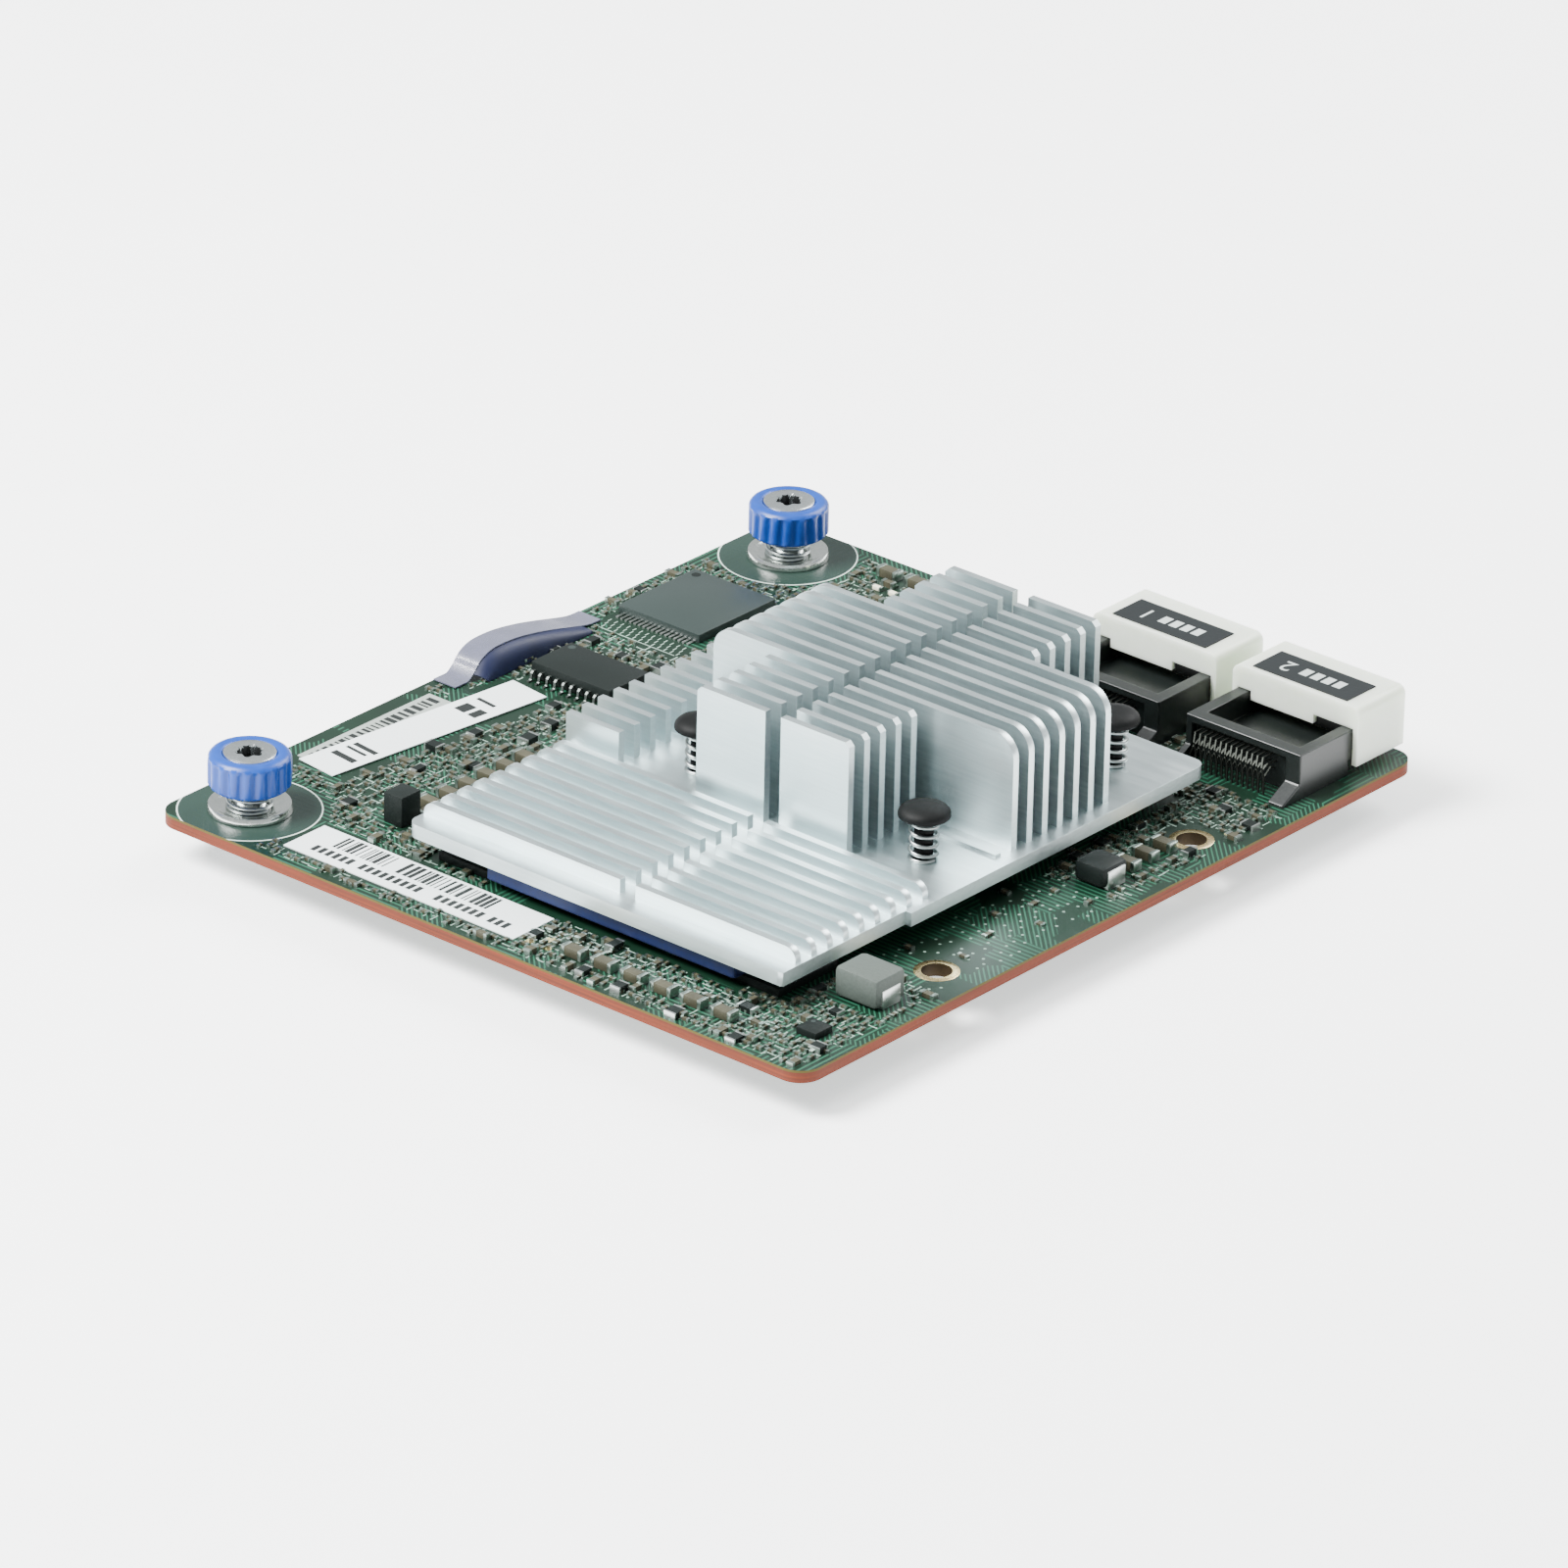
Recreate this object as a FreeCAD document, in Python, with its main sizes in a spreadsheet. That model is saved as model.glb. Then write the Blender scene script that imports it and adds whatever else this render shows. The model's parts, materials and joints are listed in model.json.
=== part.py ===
# RAID controller card: a mezzanine storage controller board with a one-piece finned heatsink held by
# four sprung push pins, two captive thumbscrews, two capped right-angle drive receptacles on its rear
# edge and a board-to-board connector underneath.
#
# Frame: millimetres, +Z up, +X to the right, +Y to the rear edge where the drive receptacles sit.
# Origin: below the centre of the board, in the plane of the underside connector's mating face.
import FreeCAD, Part
import math
import os
import Sketcher
from FreeCAD import Placement, Rotation, Vector

DRIVING_SIZES = {
    # board: the heatsink plus a margin on each side
    "margin_left": 30.6, "margin_right": 11.6, "margin_front": 10.8, "margin_rear": 26.55,
    "board_thick": 1.6, "board_corner": 3.0,
    # board-to-board connector under the board: its height sets how high the board stands
    "mezz_height": 4.6, "mezz_width": 8.6, "mezz_length": 58.0, "mezz_inset": 12.6, "mezz_corner": 0.8,
    "mezz_slot_width": 2.6, "mezz_slot_deep": 3.2, "mezz_slot_end": 2.0, "mezz_contact_pitch": 3.2,
    "mezz_contact_count": 17, "mezz_tail_length": 1.3, "mezz_tail_width": 0.5, "mezz_tail_thick": 0.25,
    # plated mounting holes in a line near the right-hand edge
    "mount_hole_bore": 3.8, "mount_hole_inset": 5.9, "mount_hole_front": 30.8, "mount_hole_spacing": 47.2,
    # captive thumbscrews at the two left-hand corners
    "screw_inset_x": 8.1, "screw_inset_y": 7.9, "shank_wide": 3.9, "running_gap": 0.05,
    "ferrule_tube": 5.5, "ferrule_flange": 10.4, "ferrule_rim": 0.9, "ferrule_floor": 0.4,
    "ferrule_slope": 1.0, "knob_wide": 10.2, "knob_tall": 4.3, "knob_gap": 3.3, "knob_seat": 2.3,
    "knob_flutes": 18, "flute_wide": 1.6, "flute_deep": 0.5,
    "head_wide": 6.6, "head_thick": 2.1, "drive_wide": 3.0, "drive_deep": 1.4,
    "washer_thick": 0.3, "washer_wide": 6.4, "thread_wide": 3.5, "thread_length": 2.0,
    "thread_lead": 0.4, "clip_thick": 0.4, "clip_wide": 5.8, "clip_groove": 3.0,
    "clip_play": 0.1, "clip_slack": 0.05, "screw_spring_wide": 5.8, "screw_spring_wire": 0.4,
    "screw_spring_turns": 3.0,
    # heatsink: base plate
    "sink_width": 59.4, "sink_gap": 3.0, "sink_base": 1.8, "sink_corner": 1.6, "sink_step": 0.9,
    "sink_step_depth": 22.0,
    # heatsink: fins, all on one pitch from the front ledge to the rear ledge
    "fin_pitch": 2.85, "fin_thick": 1.0, "fin_ledge": 2.7, "rear_ledge": 2.0, "low_rows": 9,
    "front_rows": 5, "long_rows": 7, "rear_rows": 5, "low_tall": 1.9, "low_inset": 0.35, "low_round": 1.5,
    "block_tall": 4.4, "block_width": 8.4, "tower_tall": 14.6, "tower_inset_left": 20.6,
    "tower_inset_right": 15.3, "tower_cut": 0.6, "long_inset_left": 10.8, "long_inset_right": 2.0,
    "long_round": 3.0, "groove_inset": 31.2, "groove_width": 2.4, "root_tall": 0.45,
    # sprung push pins that hold the heatsink down, one in each well beside the tower
    "well_left": 4.3, "well_right": 7.0, "pin_spread": 0.5, "pin_head_wide": 6.3, "pin_head_thick": 1.5,
    "pin_stand": 5.55, "pin_body": 2.2, "pin_flat": 0.9, "pin_slot": 0.6, "pin_slot_length": 5.0,
    "pin_barb": 3.8, "pin_barb_length": 2.5, "pin_tip": 1.6, "pin_seat": 0.05, "pin_bore_gap": 0.7,
    "pin_spring_wide": 3.7, "pin_spring_wire": 0.42, "pin_spring_turns": 3.0,
    # controller chip and cache memory under the heatsink
    "chip_size": 27.0, "chip_board_thick": 1.2, "die_size": 13.0, "die_thick": 0.9,
    "memory_count": 5, "memory_width": 8.0, "memory_depth": 10.6, "memory_thick": 1.1,
    "memory_inset": 3.2, "memory_setback": 2.2, "pad_inset_left": 12.2, "pad_inset_right": 8.7,
    "pad_setback": 0.6, "pad_depth": 13.0,
    # right-angle drive receptacles and their port caps on the rear edge
    "port_width": 17.6, "port_tall": 5.9, "port_pitch": 21.9, "port_inset": 3.1, "port_front": 22.4,
    "port_foot": 3.2, "port_foot_low": 0.3, "port_foot_rise": 2.0, "port_nose_floor": 1.9,
    "port_wall_left": 0.9, "port_wall_right": 2.3, "port_recess": 4.2, "port_recess_top": 4.9,
    "trough_inset_left": 1.7, "trough_inset_right": 1.7, "trough_inset_front": 1.9, "trough_deep": 3.0,
    "trough_depth": 11.0, "port_contact_count": 9, "port_contact_pitch": 1.45, "port_contact_wide": 0.45,
    "port_contact_thick": 0.25, "contact_row_high": 4.4, "contact_row_low": 3.0,
    "contact_reach_high": 2.9, "contact_reach_low": 1.7,
    "cap_wall": 0.75, "cap_clear": 0.1, "cap_gap": 0.4, "cap_tall": 7.7, "cap_floor": 1.2,
    "cap_depth": 9.2, "cap_round": 1.1, "cap_rear_inset": 0.1, "tab_drop": 1.2, "tab_width": 9.6,
    "tab_clear": 0.3, "cap_label_width": 14.5, "cap_label_depth": 5.6, "cap_label_setback": 0.8,
    # other parts on the top of the board, placed from its edges
    "logic_inset": 8.3, "logic_front": 57.95, "logic_width": 12.8, "logic_depth": 7.4,
    "logic_thick": 2.3, "logic_standoff": 0.15, "logic_lead_count": 10, "logic_lead_pitch": 1.27,
    "logic_lead_wide": 0.42, "logic_lead_thick": 0.22, "logic_lead_reach": 1.35,
    "flash_inset": 3.8, "flash_rear": 20.65, "flash_width": 13.2, "flash_depth": 14.4, "flash_thick": 1.2,
    "choke_width": 6.7, "choke_depth": 5.6, "choke_tall": 4.0, "choke_inset": 3.9, "choke_front": 17.5,
    "choke_chamfer": 0.5, "coil_width": 5.0, "coil_depth": 5.0, "coil_tall": 3.0, "coil_inset": 4.4,
    "coil_front": 59.6, "coil_chamfer": 0.8, "regulator_size": 3.0, "regulator_thick": 0.9,
    "regulator_inset": 4.6, "bulk_width": 3.0, "bulk_depth": 3.4, "bulk_tall": 4.0, "bulk_clear": 5.6,
    "bulk_setback": 5.4, "crystal_width": 3.2, "crystal_depth": 2.5, "crystal_tall": 0.8,
    "crystal_inset": 30.5, "crystal_rear": 10.0,
    # chip capacitors and status lights in rows
    "cell_width": 3.2, "cell_depth": 1.6, "cell_tall": 1.3, "row_pitch": 4.6, "column_pitch": 3.4,
    "row_inset": 3.4, "front_row_right": 14.6, "front_row_count": 6, "rear_row_left": 20.0,
    "rear_row_count": 7, "left_column_clear": 5.4, "left_column_front": 22.0, "left_column_count": 6,
    "right_column_inset": 5.2, "right_column_gap": 1.6, "right_column_count": 3,
    "under_rows": 4, "under_pitch": 5.0, "led_width": 1.6, "led_depth": 0.8, "led_tall": 0.6,
    "led_pitch": 2.6, "led_count": 6, "led_inset": 22.0, "led_rear": 7.6,
    # labels and the clear film loop
    "label_thick": 0.12, "barcode_left": 17.8, "barcode_inset": 3.3, "barcode_width": 36.5,
    "barcode_depth": 7.2, "serial_width": 6.2, "serial_length": 34.2, "serial_inset": 8.5,
    "serial_front": 38.25, "serial_turn": -7.0, "strip_inset": 2.4, "strip_width": 4.2,
    "strip_front": 22.4, "strip_length": 23.6, "film_thick": 0.2, "film_width": 3.6,
    "film_inset": 0.2, "film_front": 49.2, "film_span": 27.0, "film_rise": 3.1, "film_foot": 2.4,
}

doc = FreeCAD.newDocument("raid_controller_card")
sheet = doc.addObject("Spreadsheet::Sheet", "dims")
for row, (alias, value) in enumerate(DRIVING_SIZES.items(), start=1):
    sheet.set(f"A{row}", alias)
    sheet.set(f"B{row}", str(value))
    sheet.setAlias(f"B{row}", alias)
doc.recompute()

subparts = []


def size(alias):
    """A driving size, for the few shapes that are built with Part's own functions."""
    return float(sheet.get(alias))


# Heights and places that several sub-parts share, written from the driving sizes.
SINK_ROWS = "(dims.low_rows + dims.front_rows + dims.long_rows + dims.rear_rows)"
SINK_DEPTH = f"(dims.fin_ledge + dims.fin_pitch * ({SINK_ROWS} - 1) + dims.fin_thick + dims.rear_ledge)"
BOARD_WIDTH = "(dims.margin_left + dims.sink_width + dims.margin_right)"
BOARD_DEPTH = f"(dims.margin_front + {SINK_DEPTH} + dims.margin_rear)"
LEFT_EDGE = f"(-{BOARD_WIDTH} / 2)"
RIGHT_EDGE = f"({BOARD_WIDTH} / 2)"
FRONT_EDGE = f"(-{BOARD_DEPTH} / 2)"
REAR_EDGE = f"({BOARD_DEPTH} / 2)"
BOARD_TOP = "(dims.mezz_height + dims.board_thick)"
SINK_LEFT = f"({LEFT_EDGE} + dims.margin_left)"
SINK_FRONT = f"({FRONT_EDGE} + dims.margin_front)"
SINK_UNDER = f"({BOARD_TOP} + dims.sink_gap)"
SINK_TOP = f"({SINK_UNDER} + dims.sink_base)"
RUNS_PER_TURN = 6

# The push pins stand in the wells beside the tower, on the middle of its front and rear rows. Both are
# measured from the heatsink's front left corner.
TOWER_RIGHT = "(dims.sink_width - dims.tower_inset_right)"
PIN_X = {"left": "(dims.tower_inset_left - dims.well_left)", "right": f"({TOWER_RIGHT} + dims.well_right)"}
FRONT_MIDDLE = "(dims.low_rows + (dims.front_rows - 1) / 2)"
REAR_MIDDLE = "(dims.low_rows + dims.front_rows + dims.long_rows + (dims.rear_rows - 1) / 2)"
FIRST_ROW = "(dims.fin_ledge + dims.fin_thick / 2)"
PIN_Y = {"front": f"({FIRST_ROW} + dims.fin_pitch * {FRONT_MIDDLE} - dims.pin_spread)",
         "rear": f"({FIRST_ROW} + dims.fin_pitch * {REAR_MIDDLE} + dims.pin_spread)"}
PIN_HOLE = "(dims.pin_body + dims.pin_bore_gap)"


def keep(piece, label):
    """Name a finished sub-part, so that it is checked and written out."""
    piece.Label = label
    subparts.append(piece)
    return piece


def place(piece, x, y, z):
    """Bind a piece's position to the sheet."""
    for axis, expression in zip("xyz", (x, y, z)):
        piece.setExpression(f"Placement.Base.{axis}", str(expression))


def block(label, corner, extent):
    """A rectangular solid: corner and extent are three expressions each."""
    piece = doc.addObject("Part::Box", label)
    for name, expression in zip(("Length", "Width", "Height"), extent):
        piece.setExpression(name, str(expression))
    place(piece, *corner)
    return piece


def new_body(label, x="0", y="0", z="0"):
    """An empty body whose own origin sits at x, y, z."""
    body = doc.addObject("PartDesign::Body", label)
    place(body, x, y, z)
    return body


def origin_feature(body, role):
    return [item for item in body.Origin.OriginFeatures if item.Role == role][0]


def new_sketch(body, role, x="0", y="0", off="0"):
    """A sketch on one of the body's own planes, moved in the plane by x, y and off it by off."""
    sketch = body.newObject("Sketcher::SketchObject", body.Name + "_sketch")
    sketch.AttachmentSupport = (origin_feature(body, role), [""])
    sketch.MapMode = "FlatFace"
    for axis, expression in zip("xyz", (x, y, off)):
        sketch.setExpression(f".AttachmentOffset.Base.{axis}", str(expression))
    return sketch


def dimension(sketch, kind, *where, value):
    """Add a dimension and bind it to the sheet; value is an expression."""
    index = sketch.addConstraint(Sketcher.Constraint(kind, *where, evaluate(value)))
    sketch.setExpression(f"Constraints[{index}]", str(value))


def draw_polygon(sketch, points):
    """A closed outline through points given as pairs of expressions, all at or above zero."""
    values = [tuple(evaluate(e) for e in point) for point in points]
    count = len(values)
    for here, there in zip(values, values[1:] + values[:1]):
        sketch.addGeometry(Part.LineSegment(Vector(*here, 0), Vector(*there, 0)), False)
    for index in range(count):
        following = (index + 1) % count
        sketch.addConstraint(Sketcher.Constraint("Coincident", index, 2, following, 1))
    for index, ((x, y), (x_now, y_now)) in enumerate(zip(points, values)):
        if x == "0" and y == "0":
            sketch.addConstraint(Sketcher.Constraint("Coincident", index, 1, -1, 1))
            continue
        if x == "0":
            sketch.addConstraint(Sketcher.Constraint("PointOnObject", index, 1, -2))
        else:
            number = sketch.addConstraint(Sketcher.Constraint("DistanceX", -1, 1, index, 1, x_now))
            sketch.setExpression(f"Constraints[{number}]", x)
        if y == "0":
            sketch.addConstraint(Sketcher.Constraint("PointOnObject", index, 1, -1))
        else:
            number = sketch.addConstraint(Sketcher.Constraint("DistanceY", -1, 1, index, 1, y_now))
            sketch.setExpression(f"Constraints[{number}]", y)


def evaluate(expression):
    """The present value of an expression in the driving sizes."""
    return float(sheet.evalExpression(str(expression)))


def rectangle(width, height, x="0", y="0"):
    """Corners of a rectangle as pairs of expressions."""
    right = width if x == "0" else f"{x} + {width}"
    top = height if y == "0" else f"{y} + {height}"
    return [(x, y), (right, y), (right, top), (x, top)]


def draw_rounded(sketch, width, height, radius, corners="all"):
    """A rectangle from the sketch's origin with every corner, or only its top two, rounded."""
    w, h, r = evaluate(width), evaluate(height), evaluate(radius)
    low = r if corners == "all" else 0.0
    lines = [((low, 0), (w - low, 0)), ((w, low), (w, h - r)), ((w - r, h), (r, h)), ((0, h - r), (0, low))]
    for start, end in lines:
        sketch.addGeometry(Part.LineSegment(Vector(*start, 0), Vector(*end, 0)), False)
    turn = math.pi / 2
    arcs = [(1, 2, (w - r, h - r), 0.0), (2, 3, (r, h - r), turn)]
    if corners == "all":
        arcs += [(3, 0, (r, r), 2 * turn), (0, 1, (w - r, r), 3 * turn)]
    for number, (before, after, centre, start) in enumerate(arcs, start=4):
        circle = Part.Circle(Vector(*centre, 0), Vector(0, 0, 1), r)
        sketch.addGeometry(Part.ArcOfCircle(circle, start, start + turn), False)
        sketch.addConstraint(Sketcher.Constraint("Tangent", before, 2, number, 1))
        sketch.addConstraint(Sketcher.Constraint("Tangent", number, 2, after, 1))
        if number == 4:
            dimension(sketch, "Radius", number, value=radius)
        else:
            sketch.addConstraint(Sketcher.Constraint("Equal", 4, number))
    if corners != "all":
        sketch.addConstraint(Sketcher.Constraint("Coincident", 3, 2, 0, 1))
        sketch.addConstraint(Sketcher.Constraint("Coincident", 0, 2, 1, 1))
    for line, kind in ((0, "Horizontal"), (1, "Vertical"), (2, "Horizontal"), (3, "Vertical")):
        sketch.addConstraint(Sketcher.Constraint(kind, line))
    sketch.addConstraint(Sketcher.Constraint("PointOnObject", 0, 1, -1))
    sketch.addConstraint(Sketcher.Constraint("PointOnObject", 3, 1, -2))
    dimension(sketch, "DistanceX", -1, 1, 1, 1, value=width)
    dimension(sketch, "DistanceY", -1, 1, 2, 1, value=height)


def draw_circle(sketch, x, y, diameter):
    """A circle centred at x, y, both above zero."""
    centre = Vector(evaluate(x), evaluate(y), 0)
    circle = Part.Circle(centre, Vector(0, 0, 1), evaluate(diameter) / 2)
    index = sketch.addGeometry(circle, False)
    for kind, expression in (("DistanceX", x), ("DistanceY", y)):
        if evaluate(expression) == 0:
            line = -2 if kind == "DistanceX" else -1
            sketch.addConstraint(Sketcher.Constraint("PointOnObject", index, 3, line))
        else:
            dimension(sketch, kind, -1, 1, index, 3, value=expression)
    dimension(sketch, "Diameter", index, value=diameter)


def draw_hexagon(sketch, across):
    """A hexagon round the sketch's origin; across is its size over the corners."""
    reach = evaluate(across) / 2
    points = [Vector(reach * math.cos(k * math.pi / 3), reach * math.sin(k * math.pi / 3), 0) for k in range(6)]
    for here, there in zip(points, points[1:] + points[:1]):
        sketch.addGeometry(Part.LineSegment(here, there), False)
    guide = sketch.addGeometry(Part.Circle(Vector(0, 0, 0), Vector(0, 0, 1), reach), True)
    sketch.addConstraint(Sketcher.Constraint("Coincident", guide, 3, -1, 1))
    dimension(sketch, "Diameter", guide, value=across)
    for side in range(6):
        sketch.addConstraint(Sketcher.Constraint("Coincident", side, 2, (side + 1) % 6, 1))
        sketch.addConstraint(Sketcher.Constraint("PointOnObject", side, 1, guide))
    for side in range(5):
        sketch.addConstraint(Sketcher.Constraint("Equal", side, side + 1))
    sketch.addConstraint(Sketcher.Constraint("PointOnObject", 0, 1, -1))


def pad(body, sketch, length, reverse=False):
    feature = body.newObject("PartDesign::Pad", body.Name + "_pad")
    feature.Profile = sketch
    feature.setExpression("Length", str(length))
    feature.Reversed = reverse
    return feature


def pocket(body, sketch, length, reverse=False):
    feature = body.newObject("PartDesign::Pocket", body.Name + "_pocket")
    feature.Profile = sketch
    feature.setExpression("Length", str(length))
    feature.Reversed = reverse
    return feature


def repeat_along(body, feature, role, pitch, count):
    """Repeat a feature along one of the body's own axes."""
    doc.recompute()
    pattern = body.newObject("PartDesign::LinearPattern", body.Name + "_rows")
    pattern.Originals = [feature]
    pattern.Direction = (origin_feature(body, role), [""])
    pattern.setExpression("Length", f"{pitch} * ({count} - 1)")
    pattern.setExpression("Occurrences", count)
    body.Tip = pattern
    doc.recompute()
    return pattern


def turned(label, profile, x, y, z):
    """A piece turned about a vertical axis at x, y; profile holds radius and height pairs above z."""
    body = new_body(label, x, y, z)
    sketch = new_sketch(body, "XZ_Plane")
    draw_polygon(sketch, profile)
    spin = body.newObject("PartDesign::Revolution", label + "_turn")
    spin.Profile = sketch
    spin.ReferenceAxis = (sketch, ["V_Axis"])
    spin.Angle = 360.0
    return body


def coil_spring(label, x, y, z, height, wide, wire, turns):
    """A coil spring standing on z: half a turn lies flat at each end and the turns between climb evenly.

    The wire is square and its turns are short straight runs, which keeps the spring light to draw."""
    gauge = evaluate(wire)
    outer = evaluate(wide) / 2
    count = evaluate(turns)
    climb = evaluate(height) - gauge
    runs = round(count * RUNS_PER_TURN)
    sections = []
    for run in range(runs + 1):
        along = count * run / runs
        level = climb * min(max((along - 0.5) / (count - 1), 0.0), 1.0)
        turn = math.tau * along
        corners = []
        for reach, rise in ((outer, 0), (outer, gauge), (outer - gauge, gauge), (outer - gauge, 0)):
            corners.append(Vector(reach * math.cos(turn), reach * math.sin(turn), level + rise))
        sections.append(Part.makePolygon(corners + corners[:1]))
    spring = doc.addObject("Part::Feature", label)
    spring.Shape = Part.makeLoft(sections, True, True)
    spring.Placement = Placement(Vector(evaluate(x), evaluate(y), evaluate(z)), Rotation())
    return keep(spring, label)


# --------------------------------------------------------------------------------------------------
# Board: one rounded rectangle of glass-fibre laminate, drilled for two thumbscrew ferrules, the two
# plated mounting holes and the four push pins.
board = new_body("pcb")
outline = new_sketch(board, "XY_Plane", LEFT_EDGE, FRONT_EDGE, "dims.mezz_height")
draw_rounded(outline, BOARD_WIDTH, BOARD_DEPTH, "dims.board_corner")
pad(board, outline, "dims.board_thick")

FERRULE_HOLE = "(dims.ferrule_tube + 2 * dims.running_gap)"
SCREW_SPOTS = {"front": "dims.screw_inset_y", "rear": f"({BOARD_DEPTH} - dims.screw_inset_y)"}
MOUNT_HOLES = ("dims.mount_hole_front", "(dims.mount_hole_front + dims.mount_hole_spacing)")

drilling = new_sketch(board, "XY_Plane", LEFT_EDGE, FRONT_EDGE, "dims.mezz_height")
for spot in SCREW_SPOTS.values():
    draw_circle(drilling, "dims.screw_inset_x", spot, FERRULE_HOLE)
for spot in MOUNT_HOLES:
    draw_circle(drilling, f"{BOARD_WIDTH} - dims.mount_hole_inset", spot, "dims.mount_hole_bore")
for pin_x in PIN_X.values():
    for pin_y in PIN_Y.values():
        draw_circle(drilling, f"{pin_x} + dims.margin_left", f"{pin_y} + dims.margin_front", PIN_HOLE)
pocket(board, drilling, "dims.board_thick", reverse=True)
keep(board, "pcb")

# --------------------------------------------------------------------------------------------------
# Heatsink: one piece of aluminium. A base plate carries rows of fins on one pitch: low ridges over the
# memory at the front, then a cross-shaped tower whose long middle rows reach both sides and whose front
# and rear rows stop short to leave a well for each push pin, and a block of half-height fins on the
# left. One saw groove runs from front to rear through every row.
sink = new_body("heatsink", SINK_LEFT, SINK_FRONT, SINK_UNDER)
plate = new_sketch(sink, "XY_Plane")
draw_rounded(plate, "dims.sink_width", SINK_DEPTH, "dims.sink_corner")
pad(sink, plate, "dims.sink_base")

step = new_sketch(sink, "XY_Plane", "dims.sink_width - dims.sink_step", "-1")
draw_polygon(step, rectangle("dims.sink_step + 1", "dims.sink_step_depth + 1"))
pocket(sink, step, "dims.sink_base", reverse=True)


def fin_rows(left, width, height, first_row, count, rounding="", cut=""):
    """Rows of one kind of fin, with rounded or cut top corners.

    left is measured from the plate's left side, and first_row is counted from the front."""
    start = f"(dims.fin_ledge + dims.fin_pitch * ({first_row}))"
    sketch = new_sketch(sink, "XZ_Plane", left, "dims.sink_base", f"-{start}")
    if rounding:
        draw_rounded(sketch, width, height, rounding, corners="top")
    elif cut:
        draw_polygon(sketch, [("0", "0"), (width, "0"), (width, f"{height} - {cut}"), (f"{width} - {cut}", height),
                              (cut, height), ("0", f"{height} - {cut}")])
    else:
        draw_polygon(sketch, rectangle(width, height))
    first = pad(sink, sketch, "dims.fin_thick", reverse=True)
    repeat_along(sink, first, "Y_Axis", "dims.fin_pitch", count)


TOWER_ROW = "dims.low_rows"
LONG_ROW = "dims.low_rows + dims.front_rows"
REAR_ROW = "dims.low_rows + dims.front_rows + dims.long_rows"
LOW_WIDTH = "dims.sink_width - dims.sink_step - 2 * dims.low_inset"
TOWER_WIDTH = f"{TOWER_RIGHT} - dims.tower_inset_left"
LONG_RIGHT = "(dims.sink_width - dims.long_inset_right)"
LONG_WIDTH = f"{LONG_RIGHT} - dims.long_inset_left"
FRONT_ROWS = (TOWER_ROW, "dims.front_rows")
LONG_ROWS = (LONG_ROW, "dims.long_rows")
REAR_ROWS = (REAR_ROW, "dims.rear_rows")
fin_rows("dims.low_inset", LOW_WIDTH, "dims.low_tall", "0", "dims.low_rows", rounding="dims.low_round")
fin_rows("dims.tower_inset_left", TOWER_WIDTH, "dims.tower_tall", *FRONT_ROWS, cut="dims.tower_cut")
fin_rows("dims.long_inset_left", LONG_WIDTH, "dims.tower_tall", *LONG_ROWS, rounding="dims.long_round")
fin_rows("dims.tower_inset_left", TOWER_WIDTH, "dims.tower_tall", *REAR_ROWS, cut="dims.tower_cut")
fin_rows("0", "dims.block_width", "dims.block_tall", *FRONT_ROWS)
fin_rows("0", "dims.long_inset_left", "dims.block_tall", *LONG_ROWS)
fin_rows("0", "dims.block_width", "dims.block_tall", *REAR_ROWS)

# The cutter leaves the root of the last front row standing in the right-hand well.
root_start = f"-(dims.fin_ledge + dims.fin_pitch * ({LONG_ROW} - 1))"
root = new_sketch(sink, "XZ_Plane", TOWER_RIGHT, "dims.sink_base", root_start)
draw_polygon(root, rectangle(f"{LONG_RIGHT} - {TOWER_RIGHT}", "dims.root_tall"))
pad(sink, root, "dims.fin_thick", reverse=True)

groove = new_sketch(sink, "XY_Plane", "dims.groove_inset", "0", "dims.sink_base")
draw_polygon(groove, rectangle("dims.groove_width", SINK_DEPTH))
pocket(sink, groove, "dims.tower_tall + 1", reverse=True)

pin_bores = new_sketch(sink, "XY_Plane")
for pin_x in PIN_X.values():
    for pin_y in PIN_Y.values():
        draw_circle(pin_bores, pin_x, pin_y, PIN_HOLE)
pocket(sink, pin_bores, "dims.sink_base", reverse=True)
keep(sink, "heatsink")

# --------------------------------------------------------------------------------------------------
# Push pins: a black moulded pin with a domed head and two flat legs whose arrow-shaped feet snap under
# the board, and the coil spring between the head and the plate that presses the heatsink down.
PIN_LEG = "(dims.pin_barb_length + dims.pin_seat + dims.board_thick + dims.sink_gap + dims.sink_base)"
PIN_FOOT = "(dims.mezz_height - dims.pin_seat - dims.pin_barb_length)"
PIN_HEAD = f"({PIN_LEG} + dims.pin_stand)"


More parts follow.
